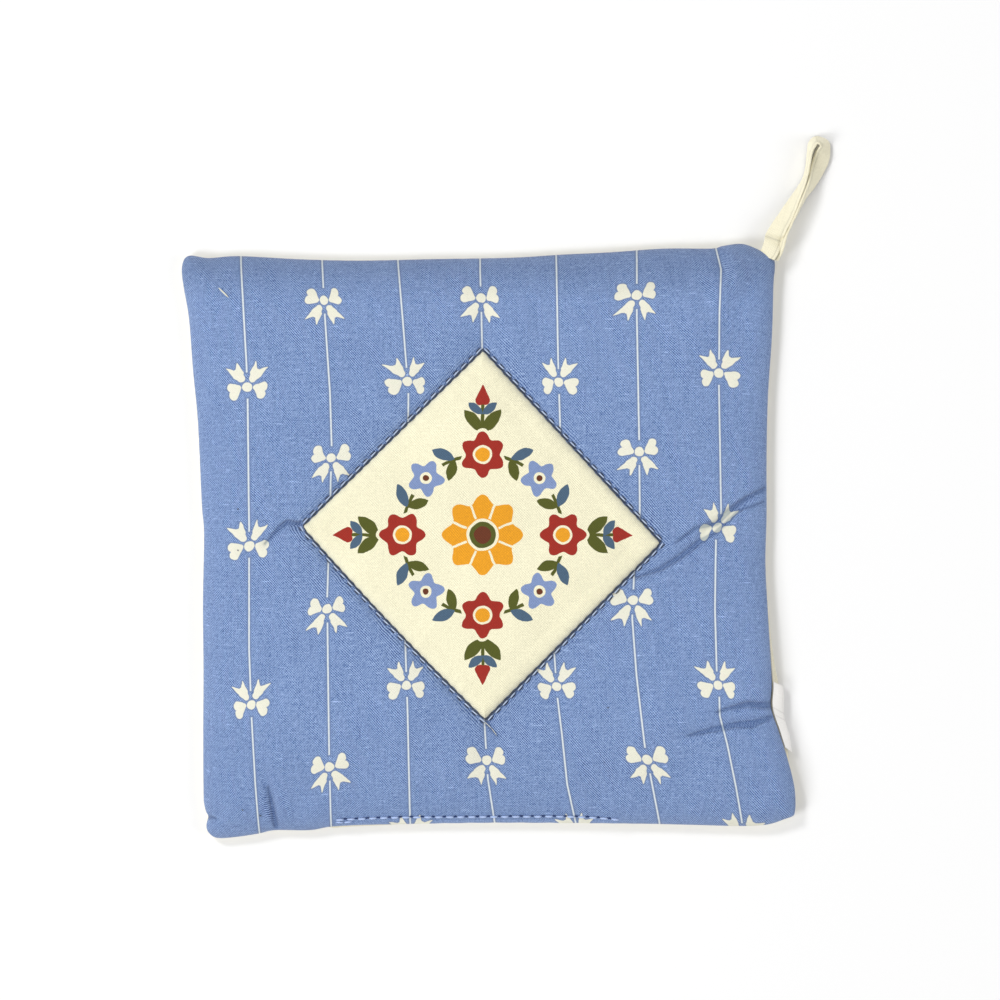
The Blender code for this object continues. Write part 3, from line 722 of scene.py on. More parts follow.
class Field:
    """A number that varies over a surface. Arithmetic on it adds Math nodes to its material."""

    def __init__(self, tree, socket):
        self.tree = tree
        self.socket = socket

    def math(self, operation, *others, clamp=False):
        """One Math node with this number first."""
        node = self.tree.nodes.new("ShaderNodeMath")
        node.operation = operation
        node.use_clamp = clamp
        for port, value in zip(node.inputs, (self, *others)):
            if isinstance(value, Field):
                self.tree.links.new(value.socket, port)
            else:
                port.default_value = value
        return Field(self.tree, node.outputs[0])

    def __add__(self, other):
        return self.math("ADD", other)

    def __sub__(self, other):
        return self.math("SUBTRACT", other)

    def __mul__(self, other):
        return self.math("MULTIPLY", other)

    def __truediv__(self, other):
        return self.math("DIVIDE", other)

    def __neg__(self):
        return self.math("MULTIPLY", -1.0)

    def __abs__(self):
        return self.math("ABSOLUTE")

    def less(self, other):
        """The smaller of two numbers."""
        return self.math("MINIMUM", other)

    def more(self, other):
        """The larger of two numbers."""
        return self.math("MAXIMUM", other)

    def from_nearest(self, pitch=1.0):
        """Signed distance to the nearest multiple of a pitch."""
        return self - (self / pitch).math("ROUND") * pitch

    def sine(self, length):
        """A sine wave of a given length."""
        return (self * (2 * math.pi / length)).math("SINE")

    def clamped(self):
        """The number kept between 0 and 1."""
        return self.math("ADD", 0.0, clamp=True)

    def inside(self, soft):
        """1 where a distance is below 0 and 0 above it, over a soft edge."""
        return (self / -soft + 0.5).clamped()

    def fading(self, rate):
        """1 at 0 and below, falling off above it as an exponential."""
        return (self.more(0.0) * -rate).math("EXPONENT")


class Cloth:
    """A cloth material being put together: a Principled shader with a colour and a bump that grow."""

    def __init__(self, name, ground, roughness, sheen=0.25):
        self.material = bpy.data.materials.new(name)
        self.material.use_nodes = True
        self.tree = self.material.node_tree
        self.shader = self.tree.nodes["Principled BSDF"]
        self.shader.inputs["Roughness"].default_value = roughness
        self.shader.inputs["Specular IOR Level"].default_value = 0.25
        self.shader.inputs["Sheen Weight"].default_value = sheen
        self.shader.inputs["Sheen Roughness"].default_value = 0.6
        self.ground = (*ground, 1)
        self.shader.inputs["Base Color"].default_value = self.ground
        self.painted = None

    def new(self, kind):
        """A node of a kind."""
        return self.tree.nodes.new(kind)

    def numbers(self, vector):
        """The three numbers of a vector."""
        parts = self.new("ShaderNodeSeparateXYZ")
        self.tree.links.new(vector, parts.inputs[0])
        return [Field(self.tree, port) for port in parts.outputs]

    def place(self):
        """x, y and z on the pad, in millimetres."""
        return [number / MM for number in self.numbers(self.new("ShaderNodeTexCoord").outputs["Object"])]

    def woven_place(self):
        """x and y as the cloth is woven, so the threads carry on down the pad's sides.

        Both are drawn in by z over half the pad's width, which counts the height on the sides as length.
        """
        x, y, z = self.place()
        drawn_in = z * (-1.0 / HALF_SIDE) + 1.0
        return x * drawn_in, y * drawn_in

    def along_cloth(self):
        """The two numbers of the piece's own map."""
        where = self.new("ShaderNodeUVMap")
        where.uv_map = "cloth"
        return self.numbers(where.outputs[0])[:2]

    def noise(self, x, y, size, detail=2.0, rough=0.5, seed=0.0):
        """Smooth noise from about 0 to 1, at one size across."""
        put = self.new("ShaderNodeCombineXYZ")
        for port, value in zip(put.inputs, (x / size, y / size)):
            self.tree.links.new(value.socket, port)
        put.inputs[2].default_value = seed
        node = self.new("ShaderNodeTexNoise")
        node.inputs["Scale"].default_value = 1.0
        node.inputs["Detail"].default_value = detail
        node.inputs["Roughness"].default_value = rough
        self.tree.links.new(put.outputs[0], node.inputs["Vector"])
        return Field(self.tree, node.outputs[0])

    def paint(self, ink, cover):
        """Lay a colour over the cloth where cover is 1."""
        mix = self.new("ShaderNodeMix")
        mix.data_type = "RGBA"
        self.tree.links.new(cover.socket, mix.inputs["Factor"])
        self._colour_in(mix.inputs["A"])
        mix.inputs["B"].default_value = (*ink, 1)
        self.painted = mix.outputs["Result"]

    def shade(self, change, share=(1.0, 1.0, 1.0)):
        """Multiply the colour by 1 + change, red, green and blue each taking its own share of the change."""
        put = self.new("ShaderNodeCombineXYZ")
        for port, part in zip(put.inputs, share):
            self.tree.links.new((change * part + 1.0).socket, port)
        mix = self.new("ShaderNodeVectorMath")
        mix.operation = "MULTIPLY"
        self._colour_in(mix.inputs[0])
        self.tree.links.new(put.outputs[0], mix.inputs[1])
        self.painted = mix.outputs[0]

    def _colour_in(self, port):
        """Bring the colour so far into a port."""
        if self.painted is None:
            port.default_value = self.ground if len(port.default_value) == 4 else self.ground[:3]
        else:
            self.tree.links.new(self.painted, port)

    def finish(self, height, depth):
        """Join the colour, and a bump whose height is a number from 0 to 1 times a depth."""
        self.tree.links.new(self.painted, self.shader.inputs["Base Color"])
        bump = self.new("ShaderNodeBump")
        bump.inputs["Strength"].default_value = 1.0
        bump.inputs["Distance"].default_value = depth
        self.tree.links.new(height.socket, bump.inputs["Height"])
        self.tree.links.new(bump.outputs[0], self.shader.inputs["Normal"])
        return self.material


def length_of(x, y):
    """Distance from the origin."""
    return (x * x + y * y).math("SQRT")


def tapered(x, y, stroke):
    """Distance outside a stroke from one round end to another of a different radius.

    The distance to the line between them, less a radius that changes evenly from one end's to the other's.
    """
    ax, ay, start, bx, by, end = stroke
    run_x, run_y = bx - ax, by - ay
    size = run_x**2 + run_y**2
    share = ((x - ax) * (run_x / size) + (y - ay) * (run_y / size)).clamped()
    gap = length_of(x - ax - share * run_x, y - ay - share * run_y)
    return gap - (share * (end - start) + start)


def turned(x, y, degrees):
    """Coordinates turned back by an angle."""
    c, s = math.cos(math.radians(degrees)), math.sin(math.radians(degrees))
    return x * c + y * s, y * c - x * s


def leaf(x, y, length, width):
    """Distance outside a leaf that lies along x from the origin: two arcs that meet in points."""
    radius = (length**2 + width**2) / (4 * width)
    return length_of(x - length / 2, abs(y) + (radius - width / 2)) - radius


def scalloped(x, y, petals, radius, depth):
    """Distance outside a round flower whose edge swells once for each petal."""
    turn = y.math("ARCTAN2", x)
    return length_of(x, y) - (turn * petals).math("COSINE") * depth - radius


def weave(cloth, x, y, pitch, contrast, slubs, share=(1.0, 1.0, 1.0)):
    """Plain weave: two crossed sines make the threads, noise drawn out along each way makes the slubs.

    A slanting sine, strong in some places and weak in others, is the glint of the threads' twist, and short
    dashes of noise along both ways are single threads that are paler or darker than the next. Sizes of
    noise are in millimetres, or in threads where they are given by the pitch.
    Returns the height from 0 to 1, and shades the colour by it.
    """
    most_wander = 1.6
    wander = (cloth.noise(x, y, 18.0, seed=4.0) - 0.5) * most_wander
    across, down = x + wander, y + wander * 0.6
    over = across.sine(pitch * 2) * down.sine(pitch * 2)
    ribs = abs(across.sine(pitch * 2)) * 0.5 + abs(down.sine(pitch * 2)) * 0.5
    height = over * 0.35 + ribs * 0.3 + 0.3
    strong = cloth.noise(x, y, 26.0, detail=1.0, seed=11.0) - 0.2
    glint = (across * 1.06 + down).sine(pitch * 1.9) * strong.more(0.2)
    speckle = cloth.noise(x, y, pitch * 1.15, detail=2.0, rough=0.9, seed=1.0) - 0.5
    dash, dash_size = 3.4, pitch * 0.95
    dashes = (
        cloth.noise(x / dash, y, dash_size, detail=0.0, seed=13.0)
        + cloth.noise(x, y / dash, dash_size, detail=0.0, seed=14.0) - 1.0
    )
    slub, slub_size = 22.0, 0.6
    weft = cloth.noise(x / slub, y, slub_size, detail=2.0, seed=2.0) - 0.5
    warp = cloth.noise(x, y / slub, slub_size, detail=2.0, seed=3.0) - 0.5
    cloud = cloth.noise(x, y, 21.0, detail=3.0, seed=5.0) - 0.5
    rare = 0.715
    fleck = (cloth.noise(x / 9.0, y, 0.5, detail=0.0, seed=12.0) - rare).more(0.0)
    threads = over * (contrast * 0.45) + glint * (contrast * 1.05) + (speckle * 1.5 + dashes * 0.5) * contrast
    cloth.shade(threads + (weft + warp) * slubs + fleck * (slubs * 9.0) + cloud * 0.12, share)
    return height + speckle * 0.7


def front_material(sizes, colours):
    """Blue cotton with pinstripes broken by bows, alternate stripes' bows upside down and half a step on.

    A bow is the nearest of its tapered strokes and its knot, its outline made uneven by noise.
    """
    cloth = Cloth("front cotton", colours.blue, 0.88)
    x, y = cloth.place()[:2]
    stripe, bow = cloth.along_cloth()
    wobble = cloth.noise(x, y, 3.2, detail=1.0, seed=7.0) - 0.5
    wobble_too = cloth.noise(x, y, 3.2, detail=1.0, seed=8.0) - 0.5
    ragged = (cloth.noise(x, y, 0.5, detail=1.0, seed=6.0) - 0.5) * 0.22
    drawn = cloth.noise(x, y, 26.0, detail=0.0, seed=9.0) - 0.5

    count = stripe.math("ROUND")
    even = abs((count * 0.5).from_nearest()) * -2.0 + 1.0
    off_stripe = (stripe - count) * STRIPE_PITCH
    upright = (even * 2.0 - 1.0) * ((bow - even * 0.5).from_nearest() * BOW_PITCH)
    bow_x = abs(off_stripe + wobble * 0.8) * (drawn * 0.7 + 1.0)
    bow_y = upright + wobble_too * 0.8 + drawn * 1.4
    shape = length_of(bow_x, bow_y) - KNOT_RADIUS
    for stroke in BOW_STROKES:
        shape = shape.less(tapered(bow_x, bow_y, stroke))
    beyond_stops = (upright - STRIPE_STOP_ABOVE).more(-upright - STRIPE_STOP_BELOW)
    line = (abs(off_stripe) - STRIPE_HALF).more(-beyond_stops)

    height = weave(cloth, *cloth.woven_place(), sizes.weave / MM, 1.15, 0.45, share=(1.25, 1.0, 0.68))
    # The cloth beside the print is a little darker, where the dye has gathered.
    halo, darker = 0.5, 0.78
    cloth.paint([darker * part for part in colours.blue], (shape.less(line) + ragged - halo).inside(0.45))
    cloth.paint(colours.print_line, (line + ragged).inside(PRINT_EDGE))
    cloth.paint(colours.print_cream, (shape + ragged - 0.12).inside(PRINT_EDGE))
    cloth.shade((cloth.noise(x, y, 0.6, detail=2.0, rough=0.8, seed=15.0) - 0.5) * 0.22)

    # Painted shade: the colour is darkened near each fold line, where shade falls in the fold, and the line
    # is also dented in the bump.
    strokes = [(*start, *end) for path in FOLDS.values() for start, end in zip(path, path[1:])]
    off = tapered(x, y, strokes[0])
    for stroke in strokes[1:]:
        off = off.less(tapered(x, y, stroke))
    fold = off.fading(2.6)
    cloth.shade(fold * -0.40, share=(1.15, 1.0, 0.8))

    # Soft shade: under the top edge, down to the hem, paler again below the closing seam, and in the
    # valley round the diamond, deepest at its lower right.
    under_loop = ((y - 84.0) / 11.0).clamped()
    towards_hem = ((-y - 58.0) / 38.0).clamped()
    below_closing = ((-y - 97.1) / 0.4).clamped() * ((-abs(x + 3.0) + 50.0) / 4.0).clamped()
    (_, top, _), (right, _, _), (_, bottom, _), (left, _, _) = DIAMOND
    tall, wide = (top - bottom) / 2, (right - left) / 2
    across = abs(x - (left + right) / 2) / wide + abs(y - (top + bottom) / 2) / tall
    valley = ((across - 1.0) * (tall * wide / math.hypot(tall, wide))).fading(0.14)
    lower_right = ((x - y) / 90.0).clamped()
    hem = below_closing * 0.09 - towards_hem * 0.06
    cloth.shade(hem - under_loop * 0.20 - valley * (lower_right * 0.11 + 0.05))
    return cloth.finish(height - fold * 2.0, 0.00022)


def patch_material(sizes, colours):
    """Cream cotton printed with a wreath: a gold rosette, red and blue blossoms and a ring of leaves.

    Everything repeats round the middle: arm_x and arm_y are measured along and off the nearest of the four
    arms, pair_x and pair_y from a place on the ring beside it, blue_x and blue_y from one between two arms.
    """
    cloth = Cloth("patch cotton", colours.patch, 0.88)
    pad_x, pad_y = cloth.place()[:2]
    wobble = cloth.noise(pad_x, pad_y, 4.0, detail=1.0, seed=7.0) - 0.5
    wobble_too = cloth.noise(pad_x, pad_y, 4.0, detail=1.0, seed=8.0) - 0.5
    ragged = (cloth.noise(pad_x, pad_y, 0.5, detail=1.0, seed=6.0) - 0.5) * 0.2
    x = pad_x + 1.5 + wobble * 0.8
    y = pad_y - 2.2 + wobble_too * 0.8
    reach = length_of(x, y)
    turn = y.math("ARCTAN2", x)
    ring, quarter = 28.0, math.pi / 2

    off_arm = turn.from_nearest(quarter)
    arm_x, arm_y = reach * off_arm.math("COSINE"), abs(reach * off_arm.math("SINE"))
    off_pair = abs(off_arm) - math.radians(25.5)
    pair_x, pair_y = reach * off_pair.math("COSINE") - ring, reach * off_pair.math("SINE") + 2.6
    off_blue = (turn + quarter / 2).from_nearest(quarter)
    blue_x, blue_y = reach * off_blue.math("COSINE") - ring, reach * off_blue.math("SINE")
    blossom_x = arm_x - ring
    stems = (abs(reach - ring) - 0.6).less((arm_y - 0.6).more(arm_x - 47.0).more(-arm_x + ring))
    veins = abs((turn + quarter / 4).from_nearest(quarter / 2)) * reach - 0.4

    # Each shape over the ones before it. Columns: colour, distance outside the shape.
    for ink, gap in (
        (colours.olive, stems + ragged),
        (colours.slate, leaf(*turned(pair_x, pair_y, 42), 8.6, 3.8) + ragged),
        (colours.olive, leaf(*turned(-pair_x, pair_y, 42), 8.0, 3.6) + ragged),
        (colours.olive, leaf(*turned(arm_x - 36.0, arm_y, 40), 10.0, 4.2) + ragged),
        (colours.slate, leaf(*turned(arm_x - 42.0, arm_y, 50), 6.5, 3.0) + ragged),
        (colours.red, tapered(arm_x, arm_y, (47.0, 1.0, 1.7, 52.0, 0.0, 0.25)) + ragged),
        (colours.patch, scalloped(blossom_x, arm_y, 6, 8.2, 1.0) + ragged),
        (colours.red, scalloped(blossom_x, arm_y, 6, 7.0, 1.1) + ragged),
        (colours.patch, length_of(blossom_x, arm_y) - 3.3),
        (colours.gold, length_of(blossom_x, arm_y) - 2.5),
        (colours.patch, length_of(blue_x, blue_y) - 7.2),
        (colours.periwinkle, scalloped(blue_x, blue_y, 5, 5.4, 1.2) + ragged),
        (colours.patch, length_of(blue_x, blue_y) - 2.1),
        (colours.brown, length_of(blue_x, blue_y) - 1.1),
        (colours.gold, scalloped(x, y, 8, 12.6, 1.5) + ragged),
        (colours.patch, veins.more(reach - 11.6).more(-reach + 6.0) + ragged),
        (colours.patch, reach - 5.6),
        (colours.olive, reach - 4.6),
        (colours.brown, reach - 3.0),
    ):
        cloth.paint(ink, gap.inside(PRINT_EDGE))
    height = weave(cloth, *cloth.woven_place(), sizes.weave / MM, 0.22, 0.07)
    return cloth.finish(height, 0.00018)


def plain_material(name, ground, sizes):
    """Unprinted woven cloth."""
    cloth = Cloth(name, ground, 0.88)
    height = weave(cloth, *cloth.woven_place(), sizes.weave / MM, 0.25, 0.10)
    return cloth.finish(height, 0.0002)


def mapped_material(
    name, ground, sizes, contrast=0.16, depth=0.00012, roughness=0.85, lengthwise=(), crosswise=()
):
    """Woven cloth whose weave follows the piece's own map, which is in millimetres.

    lengthwise gives the places of hems pressed in along it, as distances across; crosswise gives those of
    creases across it, as distances along. Each is a dent that falls off as an exponential, and the colour
    is darkened along it as painted shade.
    """
    cloth = Cloth(name, ground, roughness)
    x, y = cloth.along_cloth()
    height = weave(cloth, x, y, sizes.weave / MM, contrast, 0.08)
    hems = [(x, place, 5.0, 0.22) for place in lengthwise]
    creases = [(y, place, 2.2, 0.26) for place in crosswise]
    # Painted shade: each hem and crease line is darkened in the colour as well as dented in the bump.
    for at, place, sharp, dark in hems + creases:
        line = abs(at - place).fading(sharp)
        cloth.shade(line * -dark)
        height = height - line
    return cloth.finish(height, depth)


def thread_material(name, ground, sheen=0.4):
    """Twisted thread: slanting ribs along the stitch, from the piece's own map in millimetres."""
    cloth = Cloth(name, ground, 0.55, sheen)
    along, around = cloth.along_cloth()
    slant, twist = 0.5, 0.45
    ribs = (along + around * slant).sine(twist) * 0.5 + 0.5
    cloth.shade(ribs * 0.35 - 0.2)
    return cloth.finish(ribs, 0.00008)


# ---------------------------------------------------------------------------------------------------------
# The print's map.


def print_map(xy):
    """Where each point lies on the print: stripes counted across, bows counted up.

    Across, a point between two stripes' courses takes the share of the way from one to the other. Along,
    each stripe counts evenly from bow to bow, and a point takes the same share of the two stripes' counts.
    """
    courses = np.array([
        np.interp(-xy[:, 1], [-row[0] for row in rows], [row[1] for row in rows]) for rows in STRIPES
    ])
    counts = []
    for first, *heights in BOWS:
        bows = -(first + np.arange(len(heights)))
        step = (bows[-1] - bows[0]) / (heights[-1] - heights[0])
        inner = np.interp(-xy[:, 1], [-h for h in heights], bows)
        above = np.clip(xy[:, 1] - heights[0], 0, None) * step
        below = np.clip(xy[:, 1] - heights[-1], None, 0) * step
        counts.append(inner + above + below)
    counts = np.array(counts)
    gap = np.clip((courses < xy[:, 0]).sum(0) - 1, 0, len(STRIPES) - 2)
    pick = np.arange(len(xy))
    left, right = courses[gap, pick], courses[gap + 1, pick]
    share = (xy[:, 0] - left) / (right - left)
    along = counts[gap, pick] + (counts[gap + 1, pick] - counts[gap, pick]) * np.clip(share, 0, 1)
    return np.column_stack([1 + gap + share, along])


# ---------------------------------------------------------------------------------------------------------
# Stitches.


def stitches(name, starts, ends, ups, radius, look):
    """Short arched stitches, joined in one mesh.

    Each is a six-sided tube on a half-sine arch from its start to its end, its radius shrinking to the
    ends as a half ellipse; all are worked out together as one array.
    """
    stations, sides = 7, 6
    arch, tip = 0.9, 0.35
    t = np.linspace(0, 1, stations)[None, :, None]
    run = ends - starts
    size = np.linalg.norm(run, axis=1, keepdims=True)
    across = np.cross(run / size, ups)
    across /= np.linalg.norm(across, axis=1, keepdims=True)
    rise = np.cross(across, run / size)
    middle = starts[:, None, :] + run[:, None, :] * t + rise[:, None, :] * np.sin(np.pi * t) * radius * arch
    girth = radius * (tip + (1 - tip) * np.sqrt(np.clip(1 - (2 * t - 1) ** 2, 0, 1)))
    turn = (np.arange(sides) * 2 * np.pi / sides)[None, None, :, None]
    ring = across[:, None, None, :] * np.cos(turn) + rise[:, None, None, :] * np.sin(turn)
    points = middle[:, :, None, :] + ring * girth[:, :, None, :]
    station = np.arange(stations - 1)[:, None] * sides
    side = np.arange(sides)[None, :]
    after = (side + 1) % sides
    tube = np.stack([station + side, station + after, station + sides + after, station + sides + side], -1)
    first_end = np.array([[3, 2, 1, 0], [0, 5, 4, 3]])
    last_end = first_end[:, ::-1] + (stations - 1) * sides
    one = np.vstack([tube.reshape(-1, 4), first_end, last_end])
    faces = (one[None] + (np.arange(len(starts)) * stations * sides)[:, None, None]).reshape(-1, 4)
    uv = np.zeros((len(starts), stations, sides, 2))
    uv[..., 0] = t[..., 0][:, :, None] * size[:, :, None]
    uv[..., 1] = np.arange(sides)[None, None, :] * radius * 2 * np.pi / sides
    return make_piece(name, points.reshape(-1, 3), faces, look, uv.reshape(-1, 2))


def line_of_stitches(path, pitch, share):
    """Starts and ends of stitches along a path of points: each covers a share of its pitch."""
    along = run_length(path)
    count = int(along[-1] / pitch)
    centres = (np.arange(count) + 0.5) * along[-1] / count
    return [
        np.column_stack([np.interp(centres + half * share * pitch, along, column) for column in path.T])
        for half in (-0.5, 0.5)
    ]


def upwards(rows):
    """The way up, once for each row."""
    return np.tile((0.0, 0.0, 1.0), (len(rows), 1))


# ---------------------------------------------------------------------------------------------------------
# Operators, one for each piece or group of pieces.


def settings(context):
    """What every piece is made from: the sizes, the colours and the pad's outline."""
    return context.scene.potholder_sizes, context.scene.potholder_colours, pad_outline()


class POTHOLDER_OT_front(bpy.types.Operator):
    """Make the padded, printed front"""

    bl_idname = "potholder.front"
    bl_label = "Front"

    # The front's edge turned in under itself. Columns: in from the seam, share of seam height, lift.
    TURNED_IN = ((0.9, 1.0, 0.06), (2.4, 0.55, 0.5), (6.0, 0.0, 1.6))

    def execute(self, context):
        # A square grid over the middle, rings of it down the rolled edge, spaced as a sine, and the edge
        # turned in below.
        sizes, colours, outline = settings(context)
        PUCKERS["rise"] = simulated_puckers(outline, sizes.sim_cells, sizes.slack, sizes.pressure)
        top = square_to_pad(sizes.front_cells, outline, EDGE_INSET)
        edge = top[border(sizes.front_cells)]
        rim = pushed_out(edge, EDGE_INSET)
        steps = 8
        insets = EDGE_INSET * (1 - np.sin(np.linspace(0, np.pi / 2, steps + 1)[1:]))
        rings = [on_front(pushed_out(edge, EDGE_INSET - inset), outline) for inset in insets]
        rings[-1][:, 2] = seam_height(rim) + SEAM_GAP
        for inset, share, lift in self.TURNED_IN:
            ring = pushed_out(rim, -inset)
            rings.append(np.column_stack([ring, seam_height(ring) * share + lift]))
        points, faces, last = shell(on_front(top, outline), rings)
        piece = make_piece(
            "front_cloth", points, faces, front_material(sizes, colours),
            print_map(points[:, :2]), cap=last[::-1],
        )
        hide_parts("front_panel")
        return {"FINISHED"}


class POTHOLDER_OT_back(bpy.types.Operator):
    """Make the cream back, curled up to the seam"""

    bl_idname = "potholder.back"
    bl_label = "Back"

    # The groove that the quilting makes underneath: height, half width.
    GROOVE = (0.7, 1.6)

    def execute(self, context):
        # A square grid for the sole, with the quilting's groove as a bell curve across it, and rings up the
        # section to the seam.
        sizes, colours, outline = settings(context)
        section = smooth_between(BACK_SECTION, 5, closed=False)[::-1]
        sole_inset = section[0][0]
        sole = square_to_pad(sizes.back_cells, outline, sole_inset)
        rim = pushed_out(sole[border(sizes.back_cells)], sole_inset)
        height, width = self.GROOVE
        groove = height * np.exp(-(((out_of_diamond(sole) - DITCH_LINE) / width) ** 2))
        rings = [
            np.column_stack([
                pushed_out(rim, belly(rim) * belly_share - inset), (seam_height(rim) - SEAM_GAP) * share
            ])
            for inset, share, belly_share in section[1:]
        ]
        points, faces, _ = shell(np.column_stack([sole, groove]), rings)
        facing_down = faces[:, [0, 3, 2, 1]]
        look = plain_material("back cotton", colours.back, sizes)
        piece = make_piece("back_cloth", points, facing_down, look)
        thicken(piece, sizes.cloth)
        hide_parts("back_panel")
        return {"FINISHED"}


class POTHOLDER_OT_patch(bpy.types.Operator):
    """Make the quilted diamond patch with its turned edge"""

    bl_idname = "potholder.patch"
    bl_label = "Diamond patch"

    CROWDING = 0.33  # how much closer the grid's rows lie along the sides than in the middle
    LIFT = 0.15  # over the front's surface
    # What the edge does, each worked out from the distance in from it.
    TUCK = (0.20, 0.8)  # drawn in at each stitch, fading inwards: depth, reach
    FOLD = (0.75, 1.1)  # the turned edge, a quarter ellipse: height, width
    HEM = (0.30, 5.6, 0.35)  # the turned cloth under it: height, width, softness of its inner edge
    PUFFS = (0.10, 2.2)  # between the stitches, fading inwards: height, reach

    def execute(self, context):
        # A point at shares s and t lies between the four corners as on a bilinear patch, and its height is
        # the front's, the fold's, the hem's and the puffs' together.
        sizes, colours, outline = settings(context)
        cells = sizes.patch_cells
        line = np.linspace(0, 1, cells + 1)
        line = line - self.CROWDING * np.sin(2 * np.pi * line) / (2 * np.pi)
        s, t = (each.ravel() for each in np.meshgrid(line, line))
        top, right, bottom, left = (np.array(row[:2]) for row in DIAMOND)
        flat = (
            np.outer((1 - s) * (1 - t), bottom) + np.outer(s * (1 - t), right)
            + np.outer(s * t, top) + np.outer((1 - s) * t, left)
        )
        bow, outward = DIAMOND[2][2] * np.sin(np.pi * t) * (1 - s), (-0.72, -0.69)
        flat = flat + np.outer(bow, outward)
        inside = -out_of_diamond(flat)
        _, along = beside(flat, diamond_line(0.0, step=6.0), closed=True)
        stitch = np.cos(2 * np.pi * along / (sizes.quilt_stitch / MM))
        depth, reach = self.TUCK
        tuck = depth * np.exp(-np.clip(inside, 0, None) / reach) * (0.5 + 0.5 * stitch)
        middle, to_side = flat.mean(0), 45.0
        flat = middle + (flat - middle) * (1 - (tuck / to_side)[:, None])
        rise, width = self.FOLD
        fold = np.sqrt(np.clip(1 - (1 - np.clip(inside / width, 0, 1)) ** 2, 0, 1))
        hem_rise, hem_width, soft = self.HEM
        hem = hem_rise / (1 + np.exp((inside - hem_width) / soft))
        most, reach = self.PUFFS
        puffs = -most * np.exp(-inside / reach) * stitch
        height = front_height(flat, outline) + self.LIFT + rise * fold + hem * fold + puffs * fold
        look = patch_material(sizes, colours)
        piece = make_piece(
            "patch_cloth", np.column_stack([flat, height]), grid_faces(cells + 1, cells + 1), look
        )
        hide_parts("diamond_patch")
        return {"FINISHED"}


class POTHOLDER_OT_loop(bpy.types.Operator):
    """Make the hanging loop from its folded tape"""

    bl_idname = "potholder.loop"
    bl_label = "Hanging loop"

    HEM = 1.3  # from the tape's edge to the line of its hem
    CROSS_FOLD = 7.0  # a crease across the tape, this far along it
    # How much its thickness varies along it: share, wave lengths, seed.
    CRUMPLE = (0.10, (3.1, 5.3, 8.9), 12)

    def execute(self, context):
        # The folded section carried along the tape: across it from the lower edge to the upper, and off it
        # along the normal, with the rise that the tape's width leaves.
        sizes, colours, _ = settings(context)
        rows = smooth_between(TAPE, 8, closed=False)
        low = rows[:, :3]
        across = rows[:, 3:5] - rows[:, :2]
        rise = np.sqrt(np.clip(TAPE_WIDTH**2 - (across**2).sum(1), 0, None))
        width = np.column_stack([across, rise])
        middle = low + width / 2
        normal = np.cross(np.gradient(middle, axis=0), width)
        normal /= np.linalg.norm(normal, axis=1, keepdims=True)
        section = smooth_between(TAPE_FOLD, 3, closed=False)
        length = run_length(middle)
        share, lengths, seed = self.CRUMPLE
        crumple = 1 + share * waves(length, lengths, seed)
        points = (
            low[:, None, :] + section[None, :, :1] * width[:, None, :]
            + section[None, :, 1:] * crumple[:, None, None] * normal[:, None, :]
        )
        around = run_length(section * (TAPE_WIDTH, 1))
        uv = np.stack(np.meshgrid(around, length), -1).reshape(-1, 2)
        edge = around[-1] / 2
        # Painted shade: the hem lines and the cross fold are darkened in the tape's colour as well as dented.
        look = mapped_material(
            "loop tape", colours.tape, sizes,
            lengthwise=(edge - self.HEM, edge + self.HEM), crosswise=(self.CROSS_FOLD,),
        )
        piece = make_piece(
            "loop_tape", points.reshape(-1, 3), grid_faces(len(rows), len(section))[:, ::-1], look, uv
        )
        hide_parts("hanging_loop")
        return {"FINISHED"}


class POTHOLDER_OT_label(bpy.types.Operator):
    """Make the blank label over the back's belly"""

    bl_idname = "potholder.label"
    bl_label = "Label"

    # The label's creases. Columns: y, depth, half width.
    CREASES = ((-57.8, 0.35, 0.8), (-60.3, 0.3, 0.7))
    CLEAR = 0.35  # how far it stands off the back at the seam
    LIFT = 0.05  # how much higher than the back it starts
    SPRING = 1.1  # how much further it springs out below the seam
    WRAP = 7.0  # how far it goes round under the back
    RIBBON = 0.00025

    def execute(self, context):
        # The back's own section, a little further out, its creases as bell curves that deepen downwards.
        sizes, colours, outline = settings(context)
        corner = 90
        right = outline[(outline[:, 0] > 80) & (abs(outline[:, 1]) < corner)]
        right = right[np.argsort(right[:, 1])]
        columns = 70
        across = np.linspace(LABEL_TOP, LABEL_BOTTOM, columns)
        seam = np.column_stack([np.interp(across, right[:, 1], right[:, 0]), across])
        steps, gaps = 12, 3
        section = smooth_between(BACK_SECTION, steps, closed=False)[: steps * gaps + 1]
        wave = sum(depth * np.exp(-(((across - y) / width) ** 2)) for y, depth, width in self.CREASES)
        sheets = []
        for number, (inset, share, belly_share) in enumerate(section):
            down = number / len(section)
            sprung = np.sin(np.pi * min(down * 1.6, 0.5))
            out = self.CLEAR + self.SPRING * sprung - wave * down
            flat = pushed_out(seam, belly(seam) * belly_share - inset + out)
            sheets.append(np.column_stack([flat, seam_height(seam) * share + self.LIFT]))
        points = np.stack(sheets)
        uv = np.stack(np.meshgrid(across, np.linspace(0, self.WRAP, len(section))), -1).reshape(-1, 2)
        # Painted shade: the label's creases are darkened in its colour as well as dented.
        look = mapped_material(
            "label ribbon", colours.label, sizes, contrast=0.05, depth=0.00006, roughness=0.6,
            lengthwise=[y for y, _, _ in self.CREASES],
        )
        piece = make_piece(
            "label_tab", points.reshape(-1, 3), grid_faces(*points.shape[:2])[:, ::-1], look, uv
        )
        thicken(piece, self.RIBBON)
        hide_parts("label")
        return {"FINISHED"}


